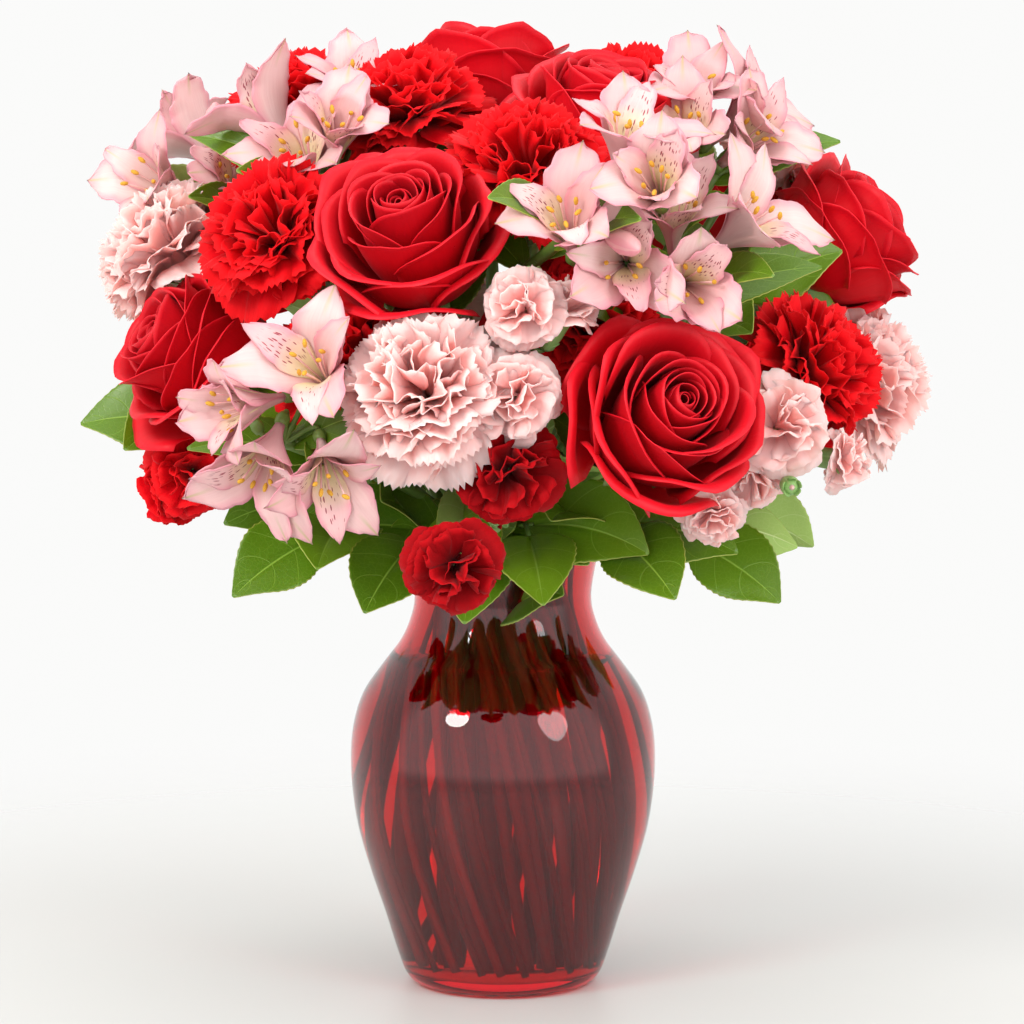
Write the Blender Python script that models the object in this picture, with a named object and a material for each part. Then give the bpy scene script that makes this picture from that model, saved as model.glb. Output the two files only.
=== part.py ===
"""A bouquet of carnations, roses, alstroemeria and leafy greens in a ruby glass vase.

Metres, +Z up. The origin is the centre of the vase's flat underside, and -Y is the bouquet's face.
Every cut stem is one grown piece: its foot stands in the vase, it leans across the neck and it ends
in its bloom, its cluster of blooms or its leaf. The stems are laid out by rule and then settled, so
that none runs through another, through the glass or through the water.
"""

import math

import bmesh
import bpy
import numpy as np
from mathutils import Vector

# The vase: blown glass with a wide shoulder, a narrow neck and a flared lip.
VASE_HEIGHT = 0.193
LIP_RADIUS = 0.0425
NECK_RADIUS = 0.0387
SHOULDER_RADIUS = 0.0668
FOOT_RADIUS = 0.0370
GLASS_WALL = 0.0030
GLASS_FLOOR = 0.0075
VASE_SIDES = 32

# The water stands this high in the vase.
WATER_BELOW_RIM = 0.047
WATER_LEVEL = VASE_HEIGHT - WATER_BELOW_RIM

# The dome that the blooms make: its centre's height, and how far out a bloom's middle lies.
DOME_ABOVE_RIM = 0.057
DOME_HEIGHT = VASE_HEIGHT + DOME_ABOVE_RIM
DOME_REACH = 0.145
# The point that the blooms look away from.
FACING_ABOVE_RIM = 0.007
FACING_HEIGHT = VASE_HEIGHT + FACING_ABOVE_RIM

# Blooms: the radius of the whole head.
ROSE_RADIUS = 0.0325
CARNATION_RADIUS = 0.0305
MINI_CLUSTER_RADIUS = 0.0200
LILY_CLUSTER_RADIUS = 0.0220
# Leaves: one large blade on each leafy stem.
BLADE_LENGTH = 0.072
BLADE_WIDTH = 0.040
BLADE_THICKNESS = 0.0012
BLADE_DROOP = 34.0

# Stem thicknesses, as diameters.
ROSE_STEM = 0.0058
CARNATION_STEM = 0.0048
MINI_STEM = 0.0038
LILY_STEM = 0.0050
GREEN_STEM = 0.0032
STEM_SIDES = 6
HEAD_SIDES = 12

# How far the stems turn about the vase's axis between the rim and the foot, in degrees.
SPIRAL = 75.0
FOOT_SPREAD = 0.82
# The stems lean out against the belly of the vase, this far and at this height.
BELLY_REACH = 0.050
BELLY_HEIGHT = 0.088
# Clearances: between neighbours as laid out, and from the water to what stands in it.
LAY_GAP = 0.0009
FIT_GAP = 0.0004
FOOT_CLEARANCE = 0.0010

# The settling: a stem bends at knots this far apart, beads this far apart stand for it, and this
# many rounds push the beads apart.
KNOT_STEP = 0.036
BEAD_STEP = 0.0055
ROUNDS = 420
PAIR_REFRESH = 20
PAIR_MARGIN = 0.016

# Outline of a head, as (along, out) shares of its radius measured from its middle.
CUP = ((-0.93, 0.30), (-0.62, 0.72), (-0.15, 0.96), (0.38, 0.90), (0.76, 0.60), (0.95, 0.25))
RUFFLE = ((-0.95, 0.20), (-0.50, 0.50), (-0.25, 0.95), (0.12, 0.98), (0.58, 0.78), (0.90, 0.38))
CLUSTER = ((-0.95, 0.20), (-0.60, 0.66), (-0.10, 0.97), (0.40, 0.90), (0.78, 0.58), (0.95, 0.22))

# Each kind of stem: its head's radius, its own thickness, its head's outline, how firmly it holds
# its place while its neighbours settle round it, and its colour.
KINDS = {
    "rose": (ROSE_RADIUS, ROSE_STEM, CUP, 0.10, (0.42, 0.004, 0.012)),
    "red_carnation": (CARNATION_RADIUS, CARNATION_STEM, RUFFLE, 0.05, (0.70, 0.010, 0.012)),
    "pink_carnation": (CARNATION_RADIUS, CARNATION_STEM, RUFFLE, 0.09, (0.90, 0.48, 0.44)),
    "pink_mini": (MINI_CLUSTER_RADIUS, MINI_STEM, CLUSTER, 0.03, (0.90, 0.45, 0.45)),
    "red_mini": (MINI_CLUSTER_RADIUS, MINI_STEM, CLUSTER, 0.03, (0.50, 0.006, 0.010)),
    "alstroemeria": (LILY_CLUSTER_RADIUS, LILY_STEM, CLUSTER, 0.03, (0.85, 0.45, 0.55)),
    "leafy_stem": (BLADE_LENGTH / 2, GREEN_STEM, None, 0.02, (0.05, 0.16, 0.02)),
}

# Where each stem ends on the dome: degrees round the vase from the face towards +X, degrees above
# the dome's middle, and how far out it reaches as a share of DOME_REACH.
PLAN = (
    ("rose_1", 25, 9, 0.98),
    ("rose_2", -17, 36, 1.02),
    ("rose_3", -69, 13, 1.00),
    ("rose_4", 46, 67, 0.98),
    ("rose_5", -165, 77, 1.01),
    ("rose_6", 88, 24, 1.10),
    ("rose_7", 148, 30, 1.03),
    ("rose_8", -130, 28, 1.03),
    ("rose_9", 176, 4, 1.00),
    ("red_carnation_1", -95, 56, 1.09),
    ("red_carnation_2", -58, 68, 1.00),
    ("red_carnation_3", 2, 48, 1.00),
    ("red_carnation_4", -47, 33, 1.02),
    ("red_carnation_5", 24, 16, 0.87),
    ("red_carnation_6", 63, 8, 1.02),
    ("red_carnation_7", -30, 24, 0.86),
    ("red_carnation_8", 128, 60, 1.05),
    ("red_carnation_9", -158, 46, 1.04),
    ("red_carnation_10", 138, 2, 1.02),
    ("red_carnation_11", -142, -2, 1.02),
    ("pink_carnation_1", -13, 11, 1.03),
    ("pink_carnation_2", -90, 27, 1.12),
    ("pink_carnation_3", 92, 12, 1.08),
    ("pink_carnation_4", 172, 34, 1.04),
    ("pink_carnation_5", -168, 14, 1.04),
    ("pink_mini_1", 6, 19, 1.04),
    ("pink_mini_2", 56, 1, 1.06),
    ("pink_mini_3", 92, 45, 1.10),
    ("pink_mini_4", -112, 8, 1.06),
    ("red_mini_1", -3, -9, 0.96),
    ("red_mini_2", -76, -9, 1.02),
    ("red_mini_3", 156, -16, 0.98),
    ("alstroemeria_1", -38, 3, 1.12),
    ("alstroemeria_2", -98, 38, 1.16),
    ("alstroemeria_3", -66, 53, 1.08),
    ("alstroemeria_4", 13, 38, 1.15),
    ("alstroemeria_5", 33, 27, 1.17),
    ("alstroemeria_6", 80, 49, 1.10),
    ("alstroemeria_7", 118, 30, 1.10),
    ("alstroemeria_8", -170, -12, 1.00),
    ("leafy_stem_1", -90, 2, 1.10),
    ("leafy_stem_2", -60, -24, 0.86),
    ("leafy_stem_3", -28, -26, 0.80),
    ("leafy_stem_4", -9, -32, 0.72),
    ("leafy_stem_5", 8, -24, 0.78),
    ("leafy_stem_6", 33, -22, 0.84),
    ("leafy_stem_7", 66, -26, 0.86),
    ("leafy_stem_8", 74, 30, 1.02),
    ("leafy_stem_9", 104, -20, 0.90),
    ("leafy_stem_10", 140, -28, 0.80),
    ("leafy_stem_11", -170, -25, 0.86),
    ("leafy_stem_12", -122, -24, 0.86),
)


def smooth_curve(points, steps):
    """Points along a curve through the given points, steps to each stretch (Catmull-Rom)."""
    p = np.array([points[0], *points, points[-1]], float)
    found = []
    for i in range(1, len(p) - 2):
        for t in np.linspace(0, 1, steps, endpoint=False):
            a, b, c, d = p[i - 1 : i + 3]
            bend, twist = 2 * a - 5 * b + 4 * c - d, 3 * b - a - 3 * c + d
            found.append(0.5 * (2 * b + (c - a) * t + bend * t**2 + twist * t**3))
    return np.array([*found, p[-1]])


def vase_outline():
    """The vase's outer side as (radius, height), from the foot up to the lip."""
    waist = SHOULDER_RADIUS * 0.5 + FOOT_RADIUS * 0.5
    return smooth_curve(
        [
            (FOOT_RADIUS, 0.0),
            (FOOT_RADIUS * 1.17, 0.025 * VASE_HEIGHT),
            (waist, 0.16 * VASE_HEIGHT),
            (SHOULDER_RADIUS * 0.955, 0.36 * VASE_HEIGHT),
            (SHOULDER_RADIUS, 0.54 * VASE_HEIGHT),
            (SHOULDER_RADIUS * 0.91, 0.67 * VASE_HEIGHT),
            (NECK_RADIUS * 1.16, 0.785 * VASE_HEIGHT),
            (NECK_RADIUS, 0.885 * VASE_HEIGHT),
            (LIP_RADIUS, VASE_HEIGHT),
        ],
        2,
    )


OUTLINE = vase_outline()


def outer_radius(z):
    return np.interp(z, OUTLINE[:, 1], OUTLINE[:, 0])


def inner_radius(z):
    return outer_radius(z) - GLASS_WALL


def link(obj):
    bpy.context.scene.collection.objects.link(obj)
    return obj


def finish(name, colour, roughness):
    material = bpy.data.materials.new(name)
    material.use_nodes = True
    shader = material.node_tree.nodes["Principled BSDF"]
    shader.inputs["Base Color"].default_value = (*colour, 1.0)
    shader.inputs["Roughness"].default_value = roughness
    return material


def turned(name, outline, sides):
    """A solid turned about Z from a closed outline whose first and last points lie on the axis."""
    bm = bmesh.new()
    verts = [bm.verts.new((r, 0.0, z)) for r, z in outline]
    edges = [bm.edges.new(pair) for pair in zip(verts, verts[1:])]
    bmesh.ops.spin(
        bm, geom=verts + edges, cent=(0, 0, 0), axis=(0, 0, 1), angle=math.tau, steps=sides, use_merge=True
    )
    bmesh.ops.remove_doubles(bm, verts=bm.verts, dist=1e-6)
    bmesh.ops.recalc_face_normals(bm, faces=bm.faces)
    mesh = bpy.data.meshes.new(name)
    bm.to_mesh(mesh)
    bm.free()
    mesh.shade_smooth()
    return link(bpy.data.objects.new(name, mesh))


def make_vase():
    """The glass: the outer side, a round lip, the inner side and a thick floor."""
    inside = OUTLINE[(OUTLINE[:, 1] > GLASS_FLOOR * 1.6)][::-1] - (GLASS_WALL, 0.0)
    lip = [(LIP_RADIUS - GLASS_WALL / 2, VASE_HEIGHT + GLASS_WALL * 0.35)]
    corner = [(inner_radius(GLASS_FLOOR * 1.6) - GLASS_WALL, GLASS_FLOOR)]
    outline = [(0.0, 0.0), *OUTLINE, *lip, *inside, *corner, (0.0, GLASS_FLOOR)]
    vase = turned("vase", outline, VASE_SIDES)
    vase.data.materials.append(finish("ruby_glass", (0.30, 0.0, 0.01), 0.05))
    return vase


def make_water():
    """The water fills the vase to its level, clear of the glass by the fit gap."""
    wall = OUTLINE[(OUTLINE[:, 1] > GLASS_FLOOR * 1.6) & (OUTLINE[:, 1] < WATER_LEVEL - 0.002)]
    side = wall - (GLASS_WALL + 2 * FIT_GAP, 0.0)
    floor = GLASS_FLOOR + FIT_GAP
    corner = (inner_radius(GLASS_FLOOR * 1.6) - GLASS_WALL - 2 * FIT_GAP, floor)
    top = (inner_radius(WATER_LEVEL) - 2 * FIT_GAP, WATER_LEVEL)
    outline = [(0.0, floor), corner, *side, top, (0.0, WATER_LEVEL)]
    water = turned("water", outline, VASE_SIDES)
    water.data.materials.append(finish("water", (0.8, 0.9, 0.9), 0.02))
    return water


def kind_of(name):
    return name.rsplit("_", 1)[0]


def direction(azimuth, elevation):
    a, e = math.radians(azimuth), math.radians(elevation)
    return np.array([math.sin(a) * math.cos(e), -math.cos(a) * math.cos(e), math.sin(e)])


def unit(v):
    return v / np.linalg.norm(v)


def evenly(points, step):
    """The same path with its points a step apart."""
    along = np.concatenate([[0.0], np.cumsum(np.linalg.norm(np.diff(points, axis=0), axis=1))])
    at = np.linspace(0.0, along[-1], max(2, round(along[-1] / step) + 1))
    return np.stack([np.interp(at, along, points[:, k]) for k in range(3)], axis=1)


def bow(start, out, end, into):
    """A cubic path from start, leaving along out, to end, arriving along into."""
    reach = np.linalg.norm(end - start) * 0.95
    t = np.linspace(0, 1, 40)[:, None]
    return (
        (2 * t**3 - 3 * t**2 + 1) * start
        + (t**3 - 2 * t**2 + t) * reach * out
        + (3 * t**2 - 2 * t**3) * end
        + (t**3 - t**2) * reach * into
    )


def lay_stem(rank, count, azimuth, elevation, share, kind):
    """One stem as laid out: the knots of its run up to its head, and its head's middle and axis."""
    radius, stem = KINDS[kind][:2]
    facing_from = np.array([0.0, 0.0, FACING_HEIGHT])
    middle = np.array([0.0, 0.0, DOME_HEIGHT]) + DOME_REACH * share * direction(azimuth, elevation)
    if kind == "leafy_stem":
        axis = unit(direction(azimuth, min(elevation + 12.0, 40.0)))
        base = middle - axis * radius
    else:
        axis = unit(middle - facing_from)
        base = middle - axis * radius * 1.35
    half = stem / 2
    room = math.sqrt((rank + 0.5) / count)
    rim_z = VASE_HEIGHT - 0.006
    rim_reach = room * (NECK_RADIUS - GLASS_WALL - half - LAY_GAP)
    foot_reach = room * FOOT_SPREAD * (inner_radius(0.03) - half)
    foot_z = GLASS_FLOOR + FOOT_CLEARANCE + half
    turn = azimuth + SPIRAL
    rim = rim_reach * direction(azimuth, 0) + (0, 0, rim_z)
    foot = foot_reach * direction(turn, 0) + (0, 0, foot_z)
    lean = unit(rim - foot)
    belly = room * BELLY_REACH * direction(azimuth + 0.6 * SPIRAL, 0) + (0, 0, BELLY_HEIGHT)
    inside = evenly(smooth_curve((foot, belly, rim), 12), BEAD_STEP)
    path = np.concatenate([inside[:-1], bow(rim, lean, base, axis)])
    return evenly(path, KNOT_STEP), middle, axis


def blade_frame(axis):
    """The way across a blade that points along axis, and the way its upper face looks."""
    across = unit(np.cross(axis, (0.0, 0.0, 1.0)))
    return across, np.cross(across, axis)


def blade_midrib(base, axis, steps):
    """Points along a blade's midrib, which droops from base, with the way it runs at each."""
    across, upper = blade_frame(axis)
    points, ways = [base], []
    for i in range(steps):
        bend = math.radians(BLADE_DROOP) * (i + 0.5) / steps
        way = axis * math.cos(bend) - upper * math.sin(bend)
        ways.append(way)
        points.append(points[-1] + way * BLADE_LENGTH / steps)
    return np.array(points), np.array([*ways, ways[-1]])


def blade_half_width(t):
    """Half the blade's width at a share of its length: pointed at the tip, rounded at the base."""
    return BLADE_WIDTH / 2 * np.sin(np.pi * np.clip(t, 0, 1) ** 0.82) ** 0.75


def spread(knots):
    """Weights that put beads evenly along each stretch between knots, a row to each bead."""
    rows = []
    for i in range(len(knots) - 1):
        count = max(1, round(np.linalg.norm(knots[i + 1] - knots[i]) / BEAD_STEP))
        for t in np.arange(count) / count:
            row = np.zeros(len(knots))
            row[i], row[i + 1] = 1.0 - t, t
            rows.append(row)
    rows.append(np.eye(len(knots))[-1])
    return np.array(rows)


class Beads:
    """All the stems as chains of balls. A head or a blade is a rigid group of balls."""

    def __init__(self):
        self.place, self.size, self.owner, self.group, self.pin = [], [], [], [], []
        self.links, self.stems, self.runs = [], {}, {}
        self.groups = 0

    def add(self, points, size, owner, group, pin):
        first = len(self.place)
        for point in points:
            self.place.append(point)
            self.size.append(size)
            self.owner.append(owner)
            self.group.append(group)
            self.pin.append(pin)
        return list(range(first, len(self.place)))

    def add_stem(self, name, owner, knots, middle, axis):
        kind = kind_of(name)
        radius, stem, _, hold, _ = KINDS[kind]
        weights = spread(knots)
        chain = self.add(weights @ knots, stem / 2, owner, -1, 0.0)
        group = self.groups
        self.groups += 1
        if kind == "leafy_stem":
            across, _ = blade_frame(axis)
            midrib, _ = blade_midrib(knots[-1], axis, 6)
            rows = [
                midrib[i] + across * side * blade_half_width(i / 6) * 0.62
                for i in range(1, 6)
                for side in (-1, 0, 1)
            ]
            head = self.add(rows, 0.0048, owner, group, hold)
        else:
            neck = [middle - axis * radius * share for share in (0.85, 1.1)]
            head = self.add([middle], radius, owner, group, hold)
            head += self.add(neck, radius * 0.32, owner, group, hold)
        self.group[chain[-1]] = group
        self.links += list(zip(chain, chain[1:]))
        self.stems[name] = (knots, head[0], middle, axis)
        self.runs[name] = (slice(chain[0], chain[-1] + 1), weights, np.linalg.pinv(weights))

    def add_lip(self):
        """The lip as a ring of fixed balls."""
        ring = []
        for i in range(96):
            a = math.tau * i / 96
            r = LIP_RADIUS - GLASS_WALL / 2
            ring.append((r * math.cos(a), r * math.sin(a), VASE_HEIGHT - GLASS_WALL / 2))
        self.add(ring, GLASS_WALL / 2 + 0.0012, -1, -1, 1.0)

    def settle(self):
        """Pushes apart whatever touches, keeping each stem's run smooth and each head whole.

        It returns the knots, the head's middle and the head's axis of each stem.
        """
        start = np.array(self.place)
        size, owner = np.array(self.size), np.array(self.owner)
        group, pin = np.array(self.group), np.array(self.pin)[:, None]
        a, b = np.array(self.links).T
        degree = np.maximum(np.bincount(a, minlength=len(start)) + np.bincount(b, minlength=len(start)), 1)
        grouped = np.where(group >= 0)[0]
        members = np.maximum(np.bincount(group[grouped], minlength=self.groups), 1)[:, None]
        fixed = owner < 0
        heavy = 1.0 + 40.0 * pin[:, 0]
        heavy[fixed] = 1e6
        shift = np.zeros_like(start)
        pairs = None
        for turn in range(ROUNDS):
            now = start + shift
            if turn % PAIR_REFRESH == 0:
                pairs = self.near_pairs(now, size, owner)
            i, j = pairs
            gap = now[j] - now[i]
            apart = np.linalg.norm(gap, axis=1)
            deep = np.clip(size[i] + size[j] + LAY_GAP - apart, 0.0, 0.004)
            hit = deep > 0
            i, j, gap, apart, deep = i[hit], j[hit], gap[hit], apart[hit], deep[hit]
            push = gap / np.maximum(apart, 1e-9)[:, None] * deep[:, None] * 0.55
            whole = heavy[i] + heavy[j]
            move = np.zeros_like(start)
            np.add.at(move, i, -push * (heavy[j] / whole)[:, None])
            np.add.at(move, j, push * (heavy[i] / whole)[:, None])
            shift += move
            shift += self.vase_push(start + shift, size, fixed)
            # A head moves as one piece.
            total = np.zeros((self.groups, 3))
            np.add.at(total, group[grouped], shift[grouped])
            shift[grouped] = (total / members)[group[grouped]]
            # A stem's shift runs smoothly along it.
            ease = 0.32 if turn < ROUNDS * 0.85 else 0.12
            beside = np.zeros_like(start)
            np.add.at(beside, a, shift[b])
            np.add.at(beside, b, shift[a])
            free = (group < 0) & ~fixed
            shift[free] += ease * (beside[free] / degree[free, None] - shift[free])
            shift *= 1.0 - pin * (0.15 if turn < ROUNDS * 0.85 else 0.0)
            shift[fixed] = 0.0
            for chain, weights, inverse in self.runs.values():
                shift[chain] = weights @ (inverse @ shift[chain])
        return {
            name: (knots + self.runs[name][2] @ shift[self.runs[name][0]], middle + shift[head], axis)
            for name, (knots, head, middle, axis) in self.stems.items()
        }

    def near_pairs(self, now, size, owner):
        """Pairs of balls of different stems that are close enough to meet soon."""
        first, second = [], []
        for i in range(0, len(now), 256):
            gap = now[i : i + 256, None, :] - now[None, :, :]
            reach = size[i : i + 256, None] + size[None, :] + PAIR_MARGIN
            near = (gap**2).sum(2) < reach**2
            near &= owner[i : i + 256, None] < owner[None, :]
            found = np.nonzero(near)
            first.append(found[0] + i)
            second.append(found[1])
        return np.concatenate(first), np.concatenate(second)

    def vase_push(self, now, size, fixed):
        """How far each ball must move to clear the glass, inside or outside of it."""
        out = np.linalg.norm(now[:, :2], axis=1)
        z = np.clip(now[:, 2], GLASS_FLOOR, VASE_HEIGHT)
        within = now[:, 2] < VASE_HEIGHT
        inner, outer = inner_radius(z) - size - LAY_GAP, outer_radius(z) + size + LAY_GAP
        inside = within & (out < (inner_radius(z) + outer_radius(z)) / 2)
        want = out.copy()
        want[inside] = np.minimum(out, inner)[inside]
        outside = within & ~inside
        want[outside] = np.maximum(out, outer)[outside]
        move = np.zeros_like(now)
        move[:, :2] = now[:, :2] / np.maximum(out, 1e-9)[:, None] * (want - out)[:, None]
        move[fixed] = 0.0
        return move


def ring_frames(points):
    """A side way and an upper way at each point, carried along without twist from the last point."""
    ways = np.gradient(points, axis=0)
    ways /= np.linalg.norm(ways, axis=1, keepdims=True)
    side = np.cross(ways[-1], (0.0, 0.0, 1.0))
    if np.linalg.norm(side) < 1e-3:
        side = np.array([1.0, 0.0, 0.0])
    sides = [unit(side)]
    for way in ways[-2::-1]:
        sides.append(unit(sides[-1] - way * (sides[-1] @ way)))
    sides = np.array(sides[::-1])
    return sides, np.cross(sides, ways)


def loft(name, points, widths, heights, counts, frames):
    """One closed skin over oval rings along a path, with a point at each end."""
    sides, uppers = frames
    bm = bmesh.new()
    rings = []
    for i in range(1, len(points) - 1):
        wide, high = sides[i] * widths[i], uppers[i] * heights[i]
        angles = np.arange(counts[i]) * math.tau / counts[i]
        rings.append([bm.verts.new(points[i] + wide * math.cos(t) + high * math.sin(t)) for t in angles])
    foot, tip = bm.verts.new(points[0]), bm.verts.new(points[-1])
    for low, high in zip(rings, rings[1:]):
        n, m = len(low), len(high)
        for k in range(n):
            if m == n:
                bm.faces.new((low[k], low[(k + 1) % n], high[(k + 1) % n], high[k]))
            else:
                here, beyond = high[2 * k], high[(2 * k + 2) % m]
                between = high[2 * k + 1]
                bm.faces.new((low[k], between, here))
                bm.faces.new((low[k], low[(k + 1) % n], between))
                bm.faces.new((low[(k + 1) % n], beyond, between))
    for ring, end in ((rings[0], foot), (rings[-1], tip)):
        for k in range(len(ring)):
            bm.faces.new((ring[k], ring[(k + 1) % len(ring)], end))
    bmesh.ops.recalc_face_normals(bm, faces=bm.faces)
    mesh = bpy.data.meshes.new(name)
    bm.to_mesh(mesh)
    bm.free()
    mesh.shade_smooth()
    return link(bpy.data.objects.new(name, mesh))


def stem_run(knots, half):
    """Points and half thicknesses of the stem up to its head, starting with its flat cut foot."""
    heel = knots[0] + unit(knots[1] - knots[0]) * half * 0.05
    return [knots[0], heel, *knots[1:]], [0.0] + [half] * len(knots)


def flower_rings(name, knots, middle, axis):
    """The rings of a stem and of the head that it ends in: points, half widths, half heights, sides."""
    radius, stem, outline = KINDS[kind_of(name)][:3]
    points, sizes = stem_run(knots, stem / 2)
    counts = [STEM_SIDES] * len(points)
    for along, out in outline:
        points.append(middle + axis * radius * along)
        sizes.append(radius * out)
        counts.append(HEAD_SIDES)
    points.append(middle + axis * radius * 0.985)
    sizes.append(0.0)
    counts.append(HEAD_SIDES)
    return points, sizes, sizes, counts


def green_rings(knots, axis):
    """The rings of a leafy stem and of the blade that it ends in."""
    points, widths = stem_run(knots, GREEN_STEM / 2)
    heights = list(widths)
    steps = 6
    midrib, _ = blade_midrib(knots[-1], axis, steps)
    for i in range(1, steps):
        points.append(midrib[i])
        widths.append(float(blade_half_width(i / steps)))
        heights.append(BLADE_THICKNESS / 2)
    points.append(midrib[-1])
    widths.append(0.0)
    heights.append(0.0)
    return points, widths, heights, [STEM_SIDES] * len(points)


def make_channel(name, points, half, frames):
    """What a stem takes out of the water: its wet run with the fit gap all round."""
    wet = 2
    while points[wet][2] < WATER_LEVEL + 0.004:
        wet += 1
    heel = unit(points[2] - points[1]) * FIT_GAP
    run = [points[0] - heel, points[1] - heel, *points[2 : wet + 1]]
    run.append(run[-1] + unit(run[-1] - run[-2]) * 0.001)
    sizes = [half + FIT_GAP] * len(run)
    counts = [STEM_SIDES] * len(run)
    channel = loft("channel_" + name, run, sizes, sizes, counts, [f[: len(run)] for f in frames])
    channel.hide_render = True
    channel.display_type = "WIRE"
    return channel


def main():
    for obj in list(bpy.data.objects):
        bpy.data.objects.remove(obj)
    make_vase()
    water = make_water()
    # The blooms nearest the top stand in the middle of the neck, and the lowest at its wall.
    order = sorted(range(len(PLAN)), key=lambda k: -PLAN[k][2])
    rank = {k: r for r, k in enumerate(order)}
    beads = Beads()
    for k, (name, azimuth, elevation, share) in enumerate(PLAN):
        path, middle, axis = lay_stem(rank[k], len(PLAN), azimuth, elevation, share, kind_of(name))
        beads.add_stem(name, k, path, middle, axis)
    beads.add_lip()
    finishes = {kind: finish(kind, facts[-1], 0.6) for kind, facts in KINDS.items()}
    channels = bpy.data.collections.new("channels")
    bpy.context.scene.collection.children.link(channels)
    for name, (knots, middle, axis) in beads.settle().items():
        kind = kind_of(name)
        rings = green_rings(knots, axis) if kind == "leafy_stem" else flower_rings(name, knots, middle, axis)
        frames = ring_frames(np.array(rings[0]))
        stem = loft(name, *rings, frames)
        stem.data.materials.append(finishes[kind])
        channel = make_channel(name, rings[0], KINDS[kind][1] / 2, frames)
        channels.objects.link(channel)
        bpy.context.scene.collection.objects.unlink(channel)
    cut = water.modifiers.new("stems", "BOOLEAN")
    cut.operation = "DIFFERENCE"
    cut.operand_type = "COLLECTION"
    cut.collection = channels
    cut.solver = "EXACT"


main()
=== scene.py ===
"""A vase of carnations, roses, alstroemeria and greens, drawn round its CAD frame."""

import math

import bpy
import numpy as np
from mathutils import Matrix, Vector


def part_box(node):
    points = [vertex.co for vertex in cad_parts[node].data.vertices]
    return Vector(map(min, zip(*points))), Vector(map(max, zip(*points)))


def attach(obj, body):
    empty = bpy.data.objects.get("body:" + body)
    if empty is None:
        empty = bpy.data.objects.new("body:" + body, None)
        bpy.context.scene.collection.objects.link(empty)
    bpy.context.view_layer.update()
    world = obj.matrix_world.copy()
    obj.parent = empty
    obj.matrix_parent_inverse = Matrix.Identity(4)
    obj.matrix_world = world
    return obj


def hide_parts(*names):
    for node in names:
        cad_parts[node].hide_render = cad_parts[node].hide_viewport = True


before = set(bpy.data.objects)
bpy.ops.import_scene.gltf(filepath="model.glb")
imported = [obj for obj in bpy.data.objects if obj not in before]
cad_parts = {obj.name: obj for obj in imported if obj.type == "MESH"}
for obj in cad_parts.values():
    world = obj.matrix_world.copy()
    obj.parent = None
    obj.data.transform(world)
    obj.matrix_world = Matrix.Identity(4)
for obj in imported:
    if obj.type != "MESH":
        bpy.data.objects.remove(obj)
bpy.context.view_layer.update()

# --------------------------------------
# The studio: white paper under a white surround that is brighter in front, a small key light at the
# left, a wider and weaker fill at the right, a top light, and a long lens just above the flowers.

MIDDLE_X = 0.00398
EYE = Vector((MIDDLE_X, -2.1, 0.49))
AIM = Vector((MIDDLE_X, 0.0, 0.208))
LENS_MM = 170.6
LAMP_AIM = Vector((0.0, 0.0, 0.25))
FLOOR_DROP = 0.0004


def srgb(code):
    """Linear colour, with alpha 1, of a hex sRGB code."""
    parts = [int(code[i : i + 2], 16) / 255 for i in (1, 3, 5)]
    return (*(p / 12.92 if p <= 0.04045 else ((p + 0.055) / 1.055) ** 2.4 for p in parts), 1.0)


def add(material, kind, inputs=None, out=0, **settings):
    """Adds a shader node with its settings, links or sets its inputs, and returns the output out."""
    node = material.node_tree.nodes.new("ShaderNode" + kind)
    for name, value in settings.items():
        setattr(node, name, value)
    for name, value in (inputs or {}).items():
        if isinstance(value, bpy.types.NodeSocket):
            material.node_tree.links.new(value, node.inputs[name])
        else:
            node.inputs[name].default_value = srgb(value) if isinstance(value, str) else value
    return node.outputs[out] if node.outputs else node


def new_material(name):
    """A material with nothing in it yet."""
    material = bpy.data.materials.new(name)
    material.use_nodes = True
    material.node_tree.nodes.clear()
    return material


camera = bpy.data.objects.new("camera", bpy.data.cameras.new("camera"))
bpy.context.scene.collection.objects.link(camera)
camera.location = EYE
camera.rotation_euler = (AIM - EYE).to_track_quat("-Z", "Y").to_euler()
camera.data.lens = LENS_MM
camera.data.clip_end = 60.0
bpy.context.scene.camera = camera

# The surround is white, and about twice as bright in front, from just under eye level upwards.
world = bpy.data.worlds.new("studio")
world.use_nodes = True
world.node_tree.nodes.clear()
way = add(world, "TexCoord", out="Generated")
ahead = add(world, "SeparateXYZ", {0: way}, out="Y")
upward = add(world, "SeparateXYZ", {0: way}, out="Z")
soft = {"interpolation_type": "SMOOTHSTEP"}
ahead = add(world, "MapRange", {"Value": ahead, "From Min": 0.10, "From Max": -0.25}, **soft)
upward = add(world, "MapRange", {"Value": upward, "From Min": -0.20, "From Max": -0.10}, **soft)
both = add(world, "Math", {0: ahead, 1: upward}, operation="MULTIPLY")
power = add(world, "Math", {0: both, 1: 0.8, 2: 0.98}, operation="MULTIPLY_ADD")
glow = add(world, "Background", {"Color": "#FDFDFC", "Strength": power})
add(world, "OutputWorld", {"Surface": glow})
bpy.context.scene.world = world
bpy.context.scene.view_settings.view_transform = "Standard"


def softbox(name, place, width, height, watts, colour):
    """A round soft light aimed at the bouquet's middle."""
    data = bpy.data.lights.new(name, "AREA")
    data.shape = "ELLIPSE"
    data.size, data.size_y = width, height
    data.energy = watts
    data.color = srgb(colour)[:3]
    lamp = bpy.data.objects.new(name, data)
    lamp.location = place
    lamp.rotation_euler = (LAMP_AIM - Vector(place)).to_track_quat("-Z", "Y").to_euler()
    bpy.context.scene.collection.objects.link(lamp)


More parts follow.
